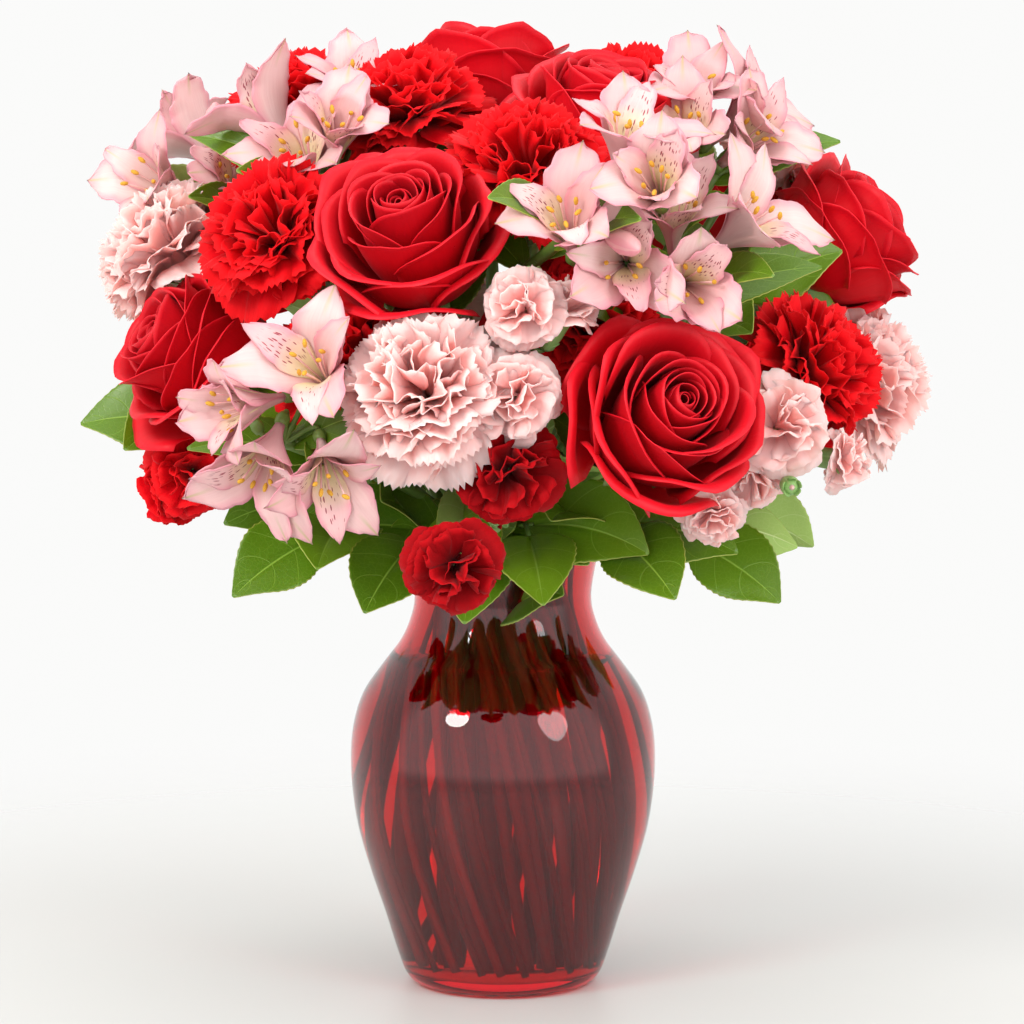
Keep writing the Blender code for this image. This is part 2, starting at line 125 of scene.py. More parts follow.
softbox("key", (-1.15, -1.35, 1.30), 0.65, 0.65, 22.0, "#FFFDF8")
softbox("fill", (1.15, -1.25, 1.05), 0.75, 1.0, 10.0, "#FFFFFF")
softbox("top", (0.1, 0.6, 1.6), 1.0, 0.7, 5.0, "#FFFFFF")

# White paper that fades into the bright surround well away from the vase.
paper = new_material("white_paper")
matt = add(paper, "BsdfPrincipled", {"Base Color": "#C3C3C1", "Roughness": 0.45})
place = add(paper, "TexCoord", out="Object")
away = add(paper, "VectorMath", {0: place}, out="Value", operation="LENGTH")
away = add(paper, "MapRange", {"Value": away, "From Min": 0.22, "From Max": 0.62}, **soft)
gone = add(paper, "BsdfTransparent")
add(paper, "OutputMaterial", {"Surface": add(paper, "MixShader", {0: away, 1: matt, 2: gone})})
floor_mesh = bpy.data.meshes.new("floor")
floor_mesh.from_pydata([(-2, -2, 0), (2, -2, 0), (2, 2, 0), (-2, 2, 0)], [], [(0, 1, 2, 3)])
floor = bpy.data.objects.new("floor", floor_mesh)
floor.location.z = -FLOOR_DROP
floor.data.materials.append(paper)
bpy.context.scene.collection.objects.link(floor)

# --------------------------------------
# The stems: each cut stem follows its CAD node, whose rings of points are read back from its tip
# to its foot. Green and a little waxy. The rings of a bloom have more points than a leaf's.

BLOOM_SIDES = 12
LEAF_SIDES = 6
BLOOM_RINGS = 7
LEAF_RINGS = 6
# A CAD bloom's height and the place of its middle, as shares of its radius.
BLOOM_TALL = 1.935
BLOOM_MIDDLE = 0.95
# How far apart a stem's rings lie, and how much a joint of the stem swells it.
STEM_STEP = 0.006
JOINT_SWELL = 0.38


def unit(v):
    """A way, or each of an array of ways, at length one."""
    return v / np.linalg.norm(v, axis=-1, keepdims=True)


def node_net(node):
    """A CAD node's points, each once, and for each of them the points that an edge joins to it."""
    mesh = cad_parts[node].data
    co = np.empty(len(mesh.vertices) * 3)
    mesh.vertices.foreach_get("co", co)
    points, index = np.unique(np.round(co.reshape(-1, 3), 6), axis=0, return_inverse=True)
    index = index.reshape(-1)
    near = [set() for _ in points]
    for edge in mesh.edges:
        a, b = index[edge.vertices[0]], index[edge.vertices[1]]
        if a != b:
            near[a].add(b)
            near[b].add(a)
    return points, near


def node_rings(node):
    """A CAD node's rings of points, from its tip to its foot."""
    points, near = node_net(node)
    found = []
    for start in range(len(points)):
        if len(near[start]) not in (LEAF_SIDES, BLOOM_SIDES):
            continue
        seen, layers = {start}, [[start]]
        while layers[-1]:
            beyond = sorted(set().union(*(near[k] for k in layers[-1])) - seen)
            seen.update(beyond)
            layers.append(beyond)
        sizes = [len(layer) for layer in layers[1:5]]
        if len(set(sizes)) == 1 and sizes[0] in (LEAF_SIDES, BLOOM_SIDES):
            found.append((points[start][2], [points[layer] for layer in layers[:-1]]))
    return max(found, key=lambda item: item[0])[1]


def smooth_path(points, step):
    """A smooth path through points, with points about a step apart (Catmull-Rom)."""
    points = np.asarray(points, float)
    p = np.concatenate([2 * points[:1] - points[1:2], points, 2 * points[-1:] - points[-2:-1]])
    out = []
    for i in range(1, len(p) - 2):
        a, b, c, d = p[i - 1 : i + 3]
        count = max(1, round(np.linalg.norm(c - b) / step))
        t = (np.arange(count) / count)[:, None]
        bend, twist = 2 * a - 5 * b + 4 * c - d, 3 * b - a - 3 * c + d
        out.append(0.5 * (2 * b + (c - a) * t + bend * t**2 + twist * t**3))
    return np.concatenate([*out, p[-2:-1]])


def frames_along(path):
    """A side way and an upper way at each point of a path, carried along without twist."""
    ways = unit(np.gradient(path, axis=0))
    side = np.cross(ways[0], (0.0, 0.0, 1.0))
    if np.linalg.norm(side) < 1e-3:
        side = np.array([1.0, 0.0, 0.0])
    sides = [unit(side)]
    for way in ways[1:]:
        sides.append(unit(sides[-1] - way * (sides[-1] @ way)))
    sides = np.array(sides)
    return sides, np.cross(sides, ways)


def grid_quads(rows, columns, closed=False):
    """Quads of a grid of points, row by row. closed joins the last column to the first."""
    r = np.arange(rows - 1)[:, None]
    c = np.arange(columns if closed else columns - 1)[None, :]
    d = (c + 1) % columns
    quads = np.stack([r * columns + c, r * columns + d, (r + 1) * columns + d, (r + 1) * columns + c], -1)
    return quads.reshape(-1, 4)


def part(points, quads, uv, tone, layer, slot):
    """One patch of a piece: points, quads, place on its own skin, two tones and a material slot."""
    return dict(points=points, quads=quads, uv=uv, tone=tone, layer=layer, slot=slot)


def tube(path, radii, slot, tone=0.5, sides=12):
    """A round skin along a path, closed at both ends by a small ring."""
    path = np.asarray(path, float)
    radii = np.broadcast_to(np.asarray(radii, float), (len(path),))
    ways = unit(np.gradient(path, axis=0))
    path = np.concatenate([path[:1] - ways[:1] * 1e-5, path, path[-1:] + ways[-1:] * 1e-5])
    radii = np.concatenate([radii[:1] * 0.02, radii, radii[-1:] * 0.02])
    side, upper = frames_along(path[1:-1])
    side, upper = (np.concatenate([v[:1], v, v[-1:]]) for v in (side, upper))
    t = np.arange(sides) * math.tau / sides
    ring = side[:, None] * np.cos(t)[None, :, None] + upper[:, None] * np.sin(t)[None, :, None]
    points = path[:, None] + ring * radii[:, None, None]
    rows = len(path)
    uv = np.stack(np.broadcast_arrays((t / math.tau)[None, :], np.linspace(0, 1, rows)[:, None]), -1)
    quads = grid_quads(rows, sides, closed=True)
    return part(points.reshape(-1, 3), quads, uv.reshape(-1, 2), tone, 0.0, slot)


def shell(points, thickness, slot, tone, layer):
    """A closed thin skin, of the given thickness, round a grid of points (rows, columns, 3)."""
    rows, columns = points.shape[:2]
    across, along = np.gradient(points, axis=1), np.gradient(points, axis=0)
    normal = np.cross(across, along)
    normal /= np.maximum(np.linalg.norm(normal, axis=2, keepdims=True), 1e-12)
    both = np.concatenate([points + normal * thickness / 2, points - normal * thickness / 2])
    front = grid_quads(rows, columns)
    back = front[:, ::-1] + rows * columns
    edge = np.concatenate(
        [
            np.arange(columns),
            (np.arange(1, rows) + 1) * columns - 1,
            rows * columns - 2 - np.arange(columns - 1),
            (rows - 2 - np.arange(rows - 2)) * columns,
        ]
    )
    after = np.roll(edge, -1)
    rim = np.stack([after, edge, edge + rows * columns, after + rows * columns], 1)
    u, v = np.meshgrid(np.linspace(0, 1, columns), np.linspace(0, 1, rows))
    uv = np.tile(np.stack([u, v], -1).reshape(-1, 2), (2, 1))
    return part(both.reshape(-1, 3), np.concatenate([front, back, rim]), uv, tone, layer, slot)


def turned_to(points, axis, middle, roll=0.0):
    """Points made round +Z at the origin, turned by roll, pointed along axis and moved to middle."""
    axis = unit(np.asarray(axis, float))
    side = np.cross((0.0, 0.0, 1.0), axis)
    side = unit(side) if np.linalg.norm(side) > 1e-4 else np.array([1.0, 0.0, 0.0])
    upper = np.cross(axis, side)
    c, s = math.cos(roll), math.sin(roll)
    turn = np.stack([side * c + upper * s, upper * c - side * s, axis])
    return points @ turn + middle


def moved(parts, axis, middle, roll=0.0):
    """The same patches, turned and moved as turned_to does."""
    return [{**p, "points": turned_to(p["points"], axis, middle, roll)} for p in parts]


def placed(name, mesh, materials, node):
    """One smooth-shaded object that rides on the body and stands for its CAD node."""
    mesh.shade_smooth()
    for material in materials:
        mesh.materials.append(material)
    obj = bpy.data.objects.new(name, mesh)
    bpy.context.scene.collection.objects.link(obj)
    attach(obj, "root")
    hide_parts(node)


def piece(name, parts, materials, node):
    """One object made of many patches."""
    counts = np.cumsum([0] + [len(p["points"]) for p in parts])
    points = np.concatenate([p["points"] for p in parts])
    quads = np.concatenate([p["quads"] + first for p, first in zip(parts, counts)])
    uv = np.concatenate([p["uv"] for p in parts])
    mesh = bpy.data.meshes.new(name)
    mesh.vertices.add(len(points))
    mesh.vertices.foreach_set("co", points.astype(np.float32).ravel())
    mesh.loops.add(quads.size)
    mesh.loops.foreach_set("vertex_index", quads.astype(np.int32).ravel())
    mesh.polygons.add(len(quads))
    mesh.polygons.foreach_set("loop_start", np.arange(0, quads.size, 4, dtype=np.int32))
    slots = np.concatenate([np.full(len(p["quads"]), p["slot"], np.int32) for p in parts])
    mesh.polygons.foreach_set("material_index", slots)
    mesh.update(calc_edges=True)
    mesh.uv_layers.new(name="skin").uv.foreach_set("vector", uv[quads.ravel()].astype(np.float32).ravel())
    for key in ("tone", "layer"):
        values = np.concatenate([np.broadcast_to(p[key], len(p["points"])) for p in parts])
        mesh.attributes.new(key, "FLOAT", "POINT").data.foreach_set("value", values.astype(np.float32))
    placed(name, mesh, materials, node)


def skin(material):
    """Where a point lies across (u) and along (v) its own skin, its patch's tone and layer, and
    (u, v, tone) as one place for patterns."""
    uv = add(material, "UVMap", uv_map="skin")
    u = add(material, "SeparateXYZ", {0: uv}, out="X")
    v = add(material, "SeparateXYZ", {0: uv}, out="Y")
    tone = add(material, "Attribute", out="Fac", attribute_name="tone")
    layer = add(material, "Attribute", out="Fac", attribute_name="layer")
    return u, v, tone, layer, add(material, "CombineXYZ", {0: u, 1: v, 2: tone})


def streaks(material, place, scale, detail=2.0):
    """Noise drawn out along a skin: scale is how fine it is across, along and from patch to patch."""
    place = add(material, "VectorMath", {0: place, 1: scale}, operation="MULTIPLY")
    return add(material, "TexNoise", {"Vector": place, "Scale": 1.0, "Detail": detail})


def coated(material, colour, *coats):
    """A colour with others laid over it in turn, each by its share and, where given, a strength."""
    for share, coat, *strength in coats:
        if strength:
            share = add(material, "Math", {0: share, 1: strength[0]}, operation="MULTIPLY")
        colour = add(material, "Mix", {0: share, 6: colour, 7: coat}, out=2, data_type="RGBA")
    return colour


def surface(material, inputs):
    """Ends a material with one principled surface."""
    shader = add(material, "BsdfPrincipled", inputs)
    add(material, "OutputMaterial", {"Surface": shader})


# Green stem skin: smooth and waxy, so it takes a soft highlight, with faint lengthwise fibres; lower down,
# inside the vase, it is painted near black as painted shade of the glass and water.
stem_skin = new_material("green_stem_skin")
_, _, tone, _, own = skin(stem_skin)
grain = streaks(stem_skin, own, (26.0, 3.0, 1.0), detail=3.0)
place = add(stem_skin, "TexCoord", out="Object")
# Painted shade: below the vase's neck the stems are painted near black, the darker-toned stems the most.
vase_shade = add(stem_skin, "SeparateXYZ", {0: place}, out="Z")
vase_shade = add(stem_skin, "MapRange", {"Value": vase_shade, "From Min": 0.19, "From Max": 0.10})
shade_by_tone = {"Value": tone, "From Min": 0.2, "From Max": 0.6, "To Min": 1.0, "To Max": 0.1}
share = add(stem_skin, "MapRange", shade_by_tone)
vase_shade = add(stem_skin, "Math", {0: vase_shade, 1: share}, operation="MULTIPLY")
green = coated(stem_skin, "#3E5B1C", (tone, "#7E9A46"), (grain, "#5C7A33"), (vase_shade, "#101C08"))
surface(stem_skin, {"Base Color": green, "Roughness": 0.42})


class Stem:
    """A CAD stem read back: its path from foot to head, its thickness and its head's place."""

    def __init__(self, node):
        rings = node_rings(node)
        centres = np.array([r.mean(0) for r in rings])
        sizes = np.array([np.linalg.norm(r - c, axis=1).mean() for r, c in zip(rings, centres)])
        bloom = len(rings[1]) == BLOOM_SIDES
        heads = BLOOM_RINGS if bloom else LEAF_RINGS
        self.path = centres[heads:][::-1][1:]
        self.half = float(np.median(sizes[heads + 1 : -2]))
        if bloom:
            self.neck = centres[heads - 1]
            self.axis = unit(centres[0] - self.neck)
            self.radius = float(np.linalg.norm(centres[0] - self.neck)) / BLOOM_TALL
            self.middle = self.neck + self.axis * self.radius * BLOOM_MIDDLE
        else:
            self.blade = centres[1:heads][::-1]
            self.blade_half = float(sizes[1:heads].max())

    def run(self, end, swell=()):
        """The stem's tube, ending at a point; swell lists joints of the stem, as shares of its run."""
        path = smooth_path(np.concatenate([self.path, [end]]), STEM_STEP)
        share = np.linspace(0, 1, len(path))
        radii = np.full(len(path), self.half)
        for at in swell:
            radii = radii + self.half * JOINT_SWELL * np.exp(-(((share - at) * len(path) / 0.8) ** 2))
        return path, radii


def kind_nodes(kind):
    """The CAD nodes of one kind, in number order."""
    names = [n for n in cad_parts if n.rsplit("_", 1)[0] == kind]
    return sorted(names, key=lambda n: int(n.rsplit("_", 1)[1]))


# --------------------------------------
# The greens: salal stems. Each carries leathery oval leaves with a pointed tip, a fine-toothed
# edge, a folded middle rib and pale net veins; they are glossy above and paler below.

LEAF_THICK = 0.00045
LEAF_FOLD = 0.22
LEAF_STALK = 0.0009
# A leaf's half width as a share of the CAD blade's.
BLADE_WIDTH = 1.3


def from_rib(material, u):
    """How far a point lies to either side of its skin's middle line, up to 0.5 at the edge."""
    aside = add(material, "Math", {0: u, 1: 0.5}, operation="SUBTRACT")
    return add(material, "Math", {0: aside}, operation="ABSOLUTE")


# Salal leaf: a leathery skin; layer is 0 on its upper face and 1 on its lower one.
leaf_skin = new_material("leathery_green_leaf")
u, v, tone, layer, _ = skin(leaf_skin)
aside = from_rib(leaf_skin, u)
rib = add(leaf_skin, "MapRange", {"Value": aside, "From Min": 0.018, "From Max": 0.006})
# Side veins leave the rib about four times along the leaf and bend towards its tip.
bend = add(leaf_skin, "Math", {0: aside, 1: 1.4}, operation="POWER")
bend = add(leaf_skin, "Math", {0: bend, 1: -5.2}, operation="MULTIPLY")
rank = add(leaf_skin, "Math", {0: v, 1: 7.5, 2: bend}, operation="MULTIPLY_ADD")
rank = add(leaf_skin, "Math", {0: rank, 1: 1.0}, operation="PINGPONG")
side_vein = add(leaf_skin, "MapRange", {"Value": rank, "From Min": 0.055, "From Max": 0.0, "To Max": 0.5})
place = add(leaf_skin, "TexCoord", out="Object")
net = add(leaf_skin, "TexVoronoi", {"Vector": place, "Scale": 420.0}, feature="DISTANCE_TO_EDGE")
net = add(leaf_skin, "MapRange", {"Value": net, "From Min": 0.07, "From Max": 0.0, "To Max": 0.14})
vein = add(leaf_skin, "Math", {0: rib, 1: side_vein}, operation="MAXIMUM")
vein = add(leaf_skin, "Math", {0: vein, 1: net}, operation="MAXIMUM")
cloud = add(leaf_skin, "TexNoise", {"Vector": place, "Scale": 55.0, "Detail": 3.0})
edge = add(leaf_skin, "MapRange", {"Value": aside, "From Min": 0.487, "From Max": 0.5, "To Max": 0.7})
pale = coated(leaf_skin, "#86A83C", (layer, "#B9CC86"))
green = coated(leaf_skin, "#3A5A02", (tone, "#72961A"), (cloud, "#54780A"), (layer, "#93B058"))
green = coated(leaf_skin, green, (vein, pale), (edge, "#A9A94A"))
sunk = add(leaf_skin, "Bump", {"Height": vein, "Strength": 0.35, "Distance": -0.0006})
gloss = add(leaf_skin, "Mix", {0: layer, 2: 0.36, 3: 0.62}, out=0, data_type="FLOAT")
leathery = {"Base Color": green, "Normal": sunk, "Roughness": gloss, "Specular IOR Level": 0.45}
leathery |= {"Subsurface Weight": 0.08, "Subsurface Radius": (0.4, 0.8, 0.2), "Subsurface Scale": 0.002}
surface(leaf_skin, leathery)


def leaf(seed, midrib, across, half_width, slot=0, tone=None):
    """A leaf along its midrib, whose sides lie along across and fold up on both sides."""
    rng = np.random.default_rng(seed)
    midrib = smooth_path(midrib, float(np.linalg.norm(np.diff(midrib, axis=0), axis=1).sum()) / 30)
    rows = len(midrib)
    U, V = np.meshgrid(np.linspace(-1, 1, 23), np.linspace(0, 1, rows))
    ways = unit(np.gradient(midrib, axis=0))
    across = across - ways * (ways @ across)[:, None]
    across = unit(across)
    upper = np.cross(across, ways)
    shape = np.clip(np.sin(np.pi * V**0.82), 0, 1) ** 0.72 * (1 - 0.55 * V**5)
    teeth = 1 + 0.018 * np.where(np.arange(rows) % 2, 1.0, -1.0)[:, None] * np.abs(U) ** 8
    half = half_width * shape * teeth + 0.0006
    wave = rng.uniform(0, math.tau)
    ripple = 0.05 * half_width * np.abs(U) ** 1.5 * np.sin(9 * V + wave + 2 * U)
    lift = LEAF_FOLD * half * np.abs(U) ** 1.25 + ripple * shape
    lift = lift - 0.10 * half_width * np.exp(-((U / 0.06) ** 2)) * (1 - V)
    curl = rng.uniform(-0.10, 0.14) * half * U * V
    points = midrib[:, None] + (U * half)[..., None] * across[:, None]
    points = points + (lift + curl)[..., None] * upper[:, None]
    both = np.repeat([0.0, 1.0], points.shape[0] * points.shape[1])
    skin_ = shell(points, LEAF_THICK, slot, rng.uniform() if tone is None else tone, both)
    # The grid's own front is its lower face when across runs to the left of the midrib.
    half_way = rows // 2
    ahead = midrib[half_way + 1] - midrib[half_way - 1]
    if np.cross(points[half_way, 12] - points[half_way, 10], ahead) @ upper[half_way] < 0:
        skin_["layer"] = 1 - both
    return skin_


def side_leaf(seed, start, way, length, width, droop=0.5, tone=None, slot=0, flip=1.0):
    """A leaf on a short stalk that leaves start along way and bends down along its length."""
    way = unit(np.array(way, float))
    down = np.array([0.0, 0.0, -1.0])
    path = [start]
    for _ in range(6):
        path.append(path[-1] + way * length / 6)
        way = unit(way + down * droop / 6)
    path = np.array(path)
    stalk_line = path[0] + (path[1] - path[0]) * np.linspace(-0.3, 0.4, 4)[:, None]
    stalk_skin = tube(stalk_line, LEAF_STALK, slot + 1, 0.6, sides=8)
    return [stalk_skin, leaf(seed, path, facing(path, flip), width, slot=slot, tone=tone)]


def point_below(path, back):
    """The point of a stem's path that is nearest to back below its end."""
    return path[np.argmin(np.abs(np.linalg.norm(path - path[-1], axis=1) - back))]


def facing(midrib, flip=1.0):
    """The way across a leaf whose upper face looks up and out, to the front or to the back."""
    out = -1.0 if midrib[-1][1] < 0.03 else 1.0
    return unit(np.cross(midrib[-1] - midrib[0], (0.0, 0.9 * out * flip, 0.55 * flip)))


# The leaves below the one at a stem's end: how far below the end each leaves the stem, the side it
# points to, how much it rises, and its length in millimetres, which is three times its half width.
LOWER_LEAVES = ((0.014, 1, 0.15, 60), (0.030, -1, 0.40, 56), (0.050, 1, 0.7, 50))
for number, node in enumerate(kind_nodes("leafy_stem")):
    stem = Stem(node)
    blade = stem.blade
    path, radii = stem.run(blade[0] + (blade[0] - stem.path[-1]) * 0.02)
    parts = [tube(path, radii * np.linspace(1.0, 0.62, len(radii)), 1, tone=0.35)]
    parts.append(leaf(800 + number, blade, facing(blade), stem.blade_half * BLADE_WIDTH))
    rng = np.random.default_rng(900 + number)
    outward = unit(np.array([*blade[-1][:2], 0.0]))
    aside = np.cross((0.0, 0.0, 1.0), outward)
    for k, (back, turn, rise, size) in enumerate(LOWER_LEAVES):
        at = point_below(path, back)
        way = outward * rng.uniform(0.5, 0.9) + aside * turn * rng.uniform(0.6, 1.0)
        way = way + np.array([0, 0, rise])
        flip = -1.0 if (number + 2 * k) % 7 == 6 else 1.0
        length = size / 1000
        parts += side_leaf(850 + 5 * number + k, at, way, length, length / 3, droop=0.7, flip=flip)
    piece(node + "_greens", parts, (leaf_skin, stem_skin), node)

# --------------------------------------
# The roses: standard crimson hybrid tea roses, fully open. Each has a tight spiral bud of inner
# petals, cupped petals round it and broad outer petals that roll back, on a green calyx.

ROSE_PETALS = 31
PETAL_THICK = 0.0004
SEPAL_THICK = 0.0005
# A rose leaf's length and half width.
ROSE_LEAF = (0.048, 0.014)
GOLDEN = math.radians(137.5)

# Rose petal: velvety, so what is seen aslant is soft and slightly pink; the rim is painted brighter
# (a painted highlight), fine veins run along it, and layer goes from 0 on the inmost petal, painted
# darkest as painted shade deep in the bloom, to 1 on the outermost.
rose_petal = new_material("crimson_rose_petal")
_, v, _, layer, own = skin(rose_petal)
vein = streaks(rose_petal, own, (46.0, 3.5, 20.0), detail=2.5)
place = add(rose_petal, "TexCoord", out="Object")
cloud = add(rose_petal, "TexNoise", {"Vector": place, "Scale": 45.0, "Detail": 2.0})
rim = add(rose_petal, "Math", {0: v, 1: 6.0}, operation="POWER")
# Painted shade: the inner petals are darker. Painted highlight: the rim is lighter.
red = coated(rose_petal, "#800006", (layer, "#D40012"), (rim, "#F02034", 0.5))
red = coated(rose_petal, red, (vein, "#960008", 0.32), (cloud, "#D6001A", 0.3))
ridge = add(rose_petal, "Bump", {"Height": vein, "Strength": 0.16, "Distance": 0.0006})
velvet = {"Base Color": red, "Normal": ridge, "Roughness": 0.5, "Specular IOR Level": 0.22}
velvet |= {"Sheen Weight": 0.06, "Sheen Roughness": 0.45, "Sheen Tint": "#FF7F90"}
velvet |= {"Subsurface Weight": 0.1, "Subsurface Radius": (0.9, 0.10, 0.08), "Subsurface Scale": 0.002}
surface(rose_petal, velvet)

# A petal's middle line, as (out, up) shares of the bloom's radius at its base, belly, shoulder and
# tip, for the innermost petal (0), through the cupped ones, to the outermost (1).
ROSE_LINES = (
    (0.00, (0.04, -0.60), (0.10, -0.10), (0.14, 0.34), (0.05, 0.48)),
    (0.16, (0.06, -0.62), (0.24, -0.35), (0.27, 0.34), (0.19, 0.58)),
    (0.40, (0.08, -0.70), (0.46, -0.55), (0.47, 0.28), (0.44, 0.66)),
    (0.62, (0.10, -0.78), (0.72, -0.74), (0.64, 0.18), (0.76, 0.60)),
    (0.82, (0.10, -0.84), (0.94, -0.84), (0.82, 0.02), (1.08, 0.34)),
    (1.00, (0.10, -0.88), (1.04, -0.90), (0.98, -0.26), (1.24, 0.02)),
)


def heading(turn):
    """The way out from +Z at an angle, and the way to its left."""
    c, s = math.cos(turn), math.sin(turn)
    return np.array([c, s, 0.0]), np.array([-s, c, 0.0])


def along_bezier(ends, t):
    """Points of a cubic Bezier curve through its four control points, each (..., 2)."""
    a, b, c, d = ends
    t = t[..., None]
    return a * (1 - t) ** 3 + 3 * b * t * (1 - t) ** 2 + 3 * c * t**2 * (1 - t) + d * t**3


def rose_bloom(seed, radius):
    """A rose's petals round +Z, their base below the origin and their face above it."""
    rng = np.random.default_rng(seed)
    keys = np.array([line[0] for line in ROSE_LINES])
    ends = np.array([line[1:] for line in ROSE_LINES])
    U, V = np.meshgrid(np.linspace(-1, 1, 17), np.linspace(0, 1, 15))
    parts = []
    for i in range(ROSE_PETALS):
        open_ = (i / (ROSE_PETALS - 1)) ** 0.92
        turn = i * GOLDEN + rng.normal(0, 0.10)
        line = [np.array([np.interp(open_, keys, ends[:, k, c]) for c in (0, 1)]) for k in range(4)]
        line[3] = line[3] + rng.normal(0, 0.035, 2) * (0.3 + open_)
        line[2] = line[2] + rng.normal(0, 0.025, 2) * (0.3 + open_)
        half = np.interp(open_, (0, 0.16, 0.4, 0.7, 1), (2.5, 2.0, 1.42, 1.05, 0.90))
        half = half * rng.uniform(0.92, 1.1)
        reach = 1 - np.interp(open_, (0, 0.3, 1), (0.10, 0.22, 0.30)) * np.abs(U) ** 2.6
        reach = reach + np.interp(open_, (0.3, 0.8), (0.0, 0.05)) * np.exp(-((U / 0.16) ** 2)) * V**6
        s = V * reach
        place = along_bezier(line, s)
        out, up = place[..., 0], place[..., 1]
        spread = 0.42 + 0.58 * np.sin(np.pi / 2 * np.clip(V / 0.62, 0, 1))
        angle = turn + half * U * spread
        # One side lies under its neighbour and the other over it.
        out = out * (1 + 0.09 * U * np.clip(V * 2, 0, 1))
        # The rim waves a little, and its sides roll back on the open petals.
        wave, fine = rng.uniform(0, math.tau, 2)
        ripple = 0.055 * np.sin(2.6 * U + wave) + 0.026 * np.sin(7.5 * U + fine)
        out = out + open_ * ripple * V**2.5
        up = up + open_ * 0.050 * np.sin(3.4 * U + fine) * V**2.5
        roll = np.interp(open_, (0.25, 0.7, 1), (0, 0.16, 0.26))
        roll = np.clip(np.abs(U) - 0.45, 0, 1) ** 1.6 * V**2 * roll
        out, up = out + roll, up - roll * 0.55
        curl = np.clip(V - 0.84, 0, 1) / 0.16
        out = out + curl**1.5 * np.interp(open_, (0.15, 0.5, 1), (0.0, 0.05, 0.07))
        up = up - curl**2.4 * np.interp(open_, (0.2, 0.5, 1), (0.0, 0.05, 0.09))
        points = np.stack([out * np.cos(angle), out * np.sin(angle), up * 1.08 + 0.12], -1) * radius
        # Each petal leans in or out by its own small tilt.
        tilt = rng.normal(0, 0.03 + 0.07 * open_)
        c, s = math.cos(tilt), math.sin(tilt)
        lead = heading(turn)[0]
        a, b = points @ lead, points[..., 2]
        points = points + ((a * c - b * s) - a)[..., None] * lead
        points[..., 2] = a * s + b * c
        parts.append(shell(points, PETAL_THICK, 0, rng.uniform(), open_))
    return parts


def sepals(radius, base, length, width, count, seed, droop=0.9, first=0.0):
    """Pointed green sepals that leave the calyx at base on +Z and turn down at their tips."""
    rng = np.random.default_rng(seed)
    U, V = np.meshgrid(np.linspace(-1, 1, 7), np.linspace(0, 1, 9))
    parts = []
    for i in range(count):
        turn = first + math.tau * i / count + rng.normal(0, 0.1)
        bend = rng.uniform(0.7, 1.2) * droop
        way = np.pi / 2 - 1.1 + bend * V * 2.2
        step = length / (V.shape[0] - 1)
        out = radius + np.cumsum(np.cos(np.pi / 2 - way), axis=0) * step - step
        up = base + np.cumsum(np.sin(np.pi / 2 - way), axis=0) * step
        half = width * np.sin(np.pi * np.clip(V * 0.86 + 0.14, 0, 1)) ** 0.8
        lead, side = heading(turn)
        points = out[..., None] * lead + (U * half)[..., None] * side
        points[..., 2] += up + 0.2 * half * U**2
        parts.append(shell(points, SEPAL_THICK, 1, 0.6, 0.0))
    return parts


def turned_skin(outline, slot, sides=16, tone=0.5):
    """A skin turned round +Z from (radius, height) pairs, closed at both ends."""
    outline = np.array(outline, float)
    outline[[0, -1], 0] = np.maximum(outline[[0, -1], 0], 1e-5)
    t = np.arange(sides) * math.tau / sides
    ring = np.stack([np.cos(t), np.sin(t)], -1)
    height = np.broadcast_to(outline[:, None, 1:], (len(outline), sides, 1))
    points = np.concatenate([outline[:, None, :1] * ring[None], height], -1)
    uv = np.stack(np.broadcast_arrays((t / math.tau)[None], np.linspace(0, 1, len(outline))[:, None]), -1)
    quads = grid_quads(len(outline), sides, closed=True)
    return part(points.reshape(-1, 3), quads, uv.reshape(-1, 2), tone, 0.0, slot)


# The first rose, in front, is the fullest.
for number, node in enumerate(kind_nodes("rose")):
    stem = Stem(node)
    size = stem.radius * (1.10 if number == 0 else 1.02 + 0.04 * math.sin(number * 2.1))
    bloom = rose_bloom(100 + number, size)
    cup = [(0.0, -1.16), (0.07, -1.16), (0.15, -1.08), (0.20, -0.98), (0.20, -0.88), (0.10, -0.80)]
    cup.append((0.0, -0.80))
    bloom.append(turned_skin(np.array(cup) * size, 1))
    bloom += sepals(size * 0.16, -0.86 * size, 0.026, 0.0042, 5, number)
    # The two that face straight up sit a little deeper among their neighbours.
    middle = stem.middle - stem.axis * (0.003 if stem.axis[2] > 0.9 else 0.0)
    parts = moved(bloom, stem.axis, middle, number * 1.7)
    path, radii = stem.run(middle - stem.axis * size * 1.1)
    parts.append(tube(path, radii, 1, tone=0.25 + 0.05 * (number % 3)))
    for k in range(3):
        at = point_below(path, 0.010 + 0.016 * k)
        turn = math.tau * k / 3 + number
        way = np.array([math.cos(turn), math.sin(turn), 0.5]) * 0.8 + stem.axis * 0.6
        parts += side_leaf(700 + 4 * number + k, at, way, *ROSE_LEAF, droop=0.5, tone=0.1, slot=2)
    piece(node + "_flower", parts, (rose_petal, stem_skin, leaf_skin, stem_skin), node)

# --------------------------------------
# The carnations: each has a smooth green calyx tube, and some forty petals that leave it as narrow
# claws and open into ruffled blades with a toothed rim. Matt, thin and papery.

CARNATION_PETALS = 46
CARNATION_TEETH = 28
CARNATION_THICK = 0.00026
# The height of a calyx's mouth, as a share of its bloom's radius, and its length and half width.
MOUTH = -0.42
CALYX = (0.026, 0.0070)


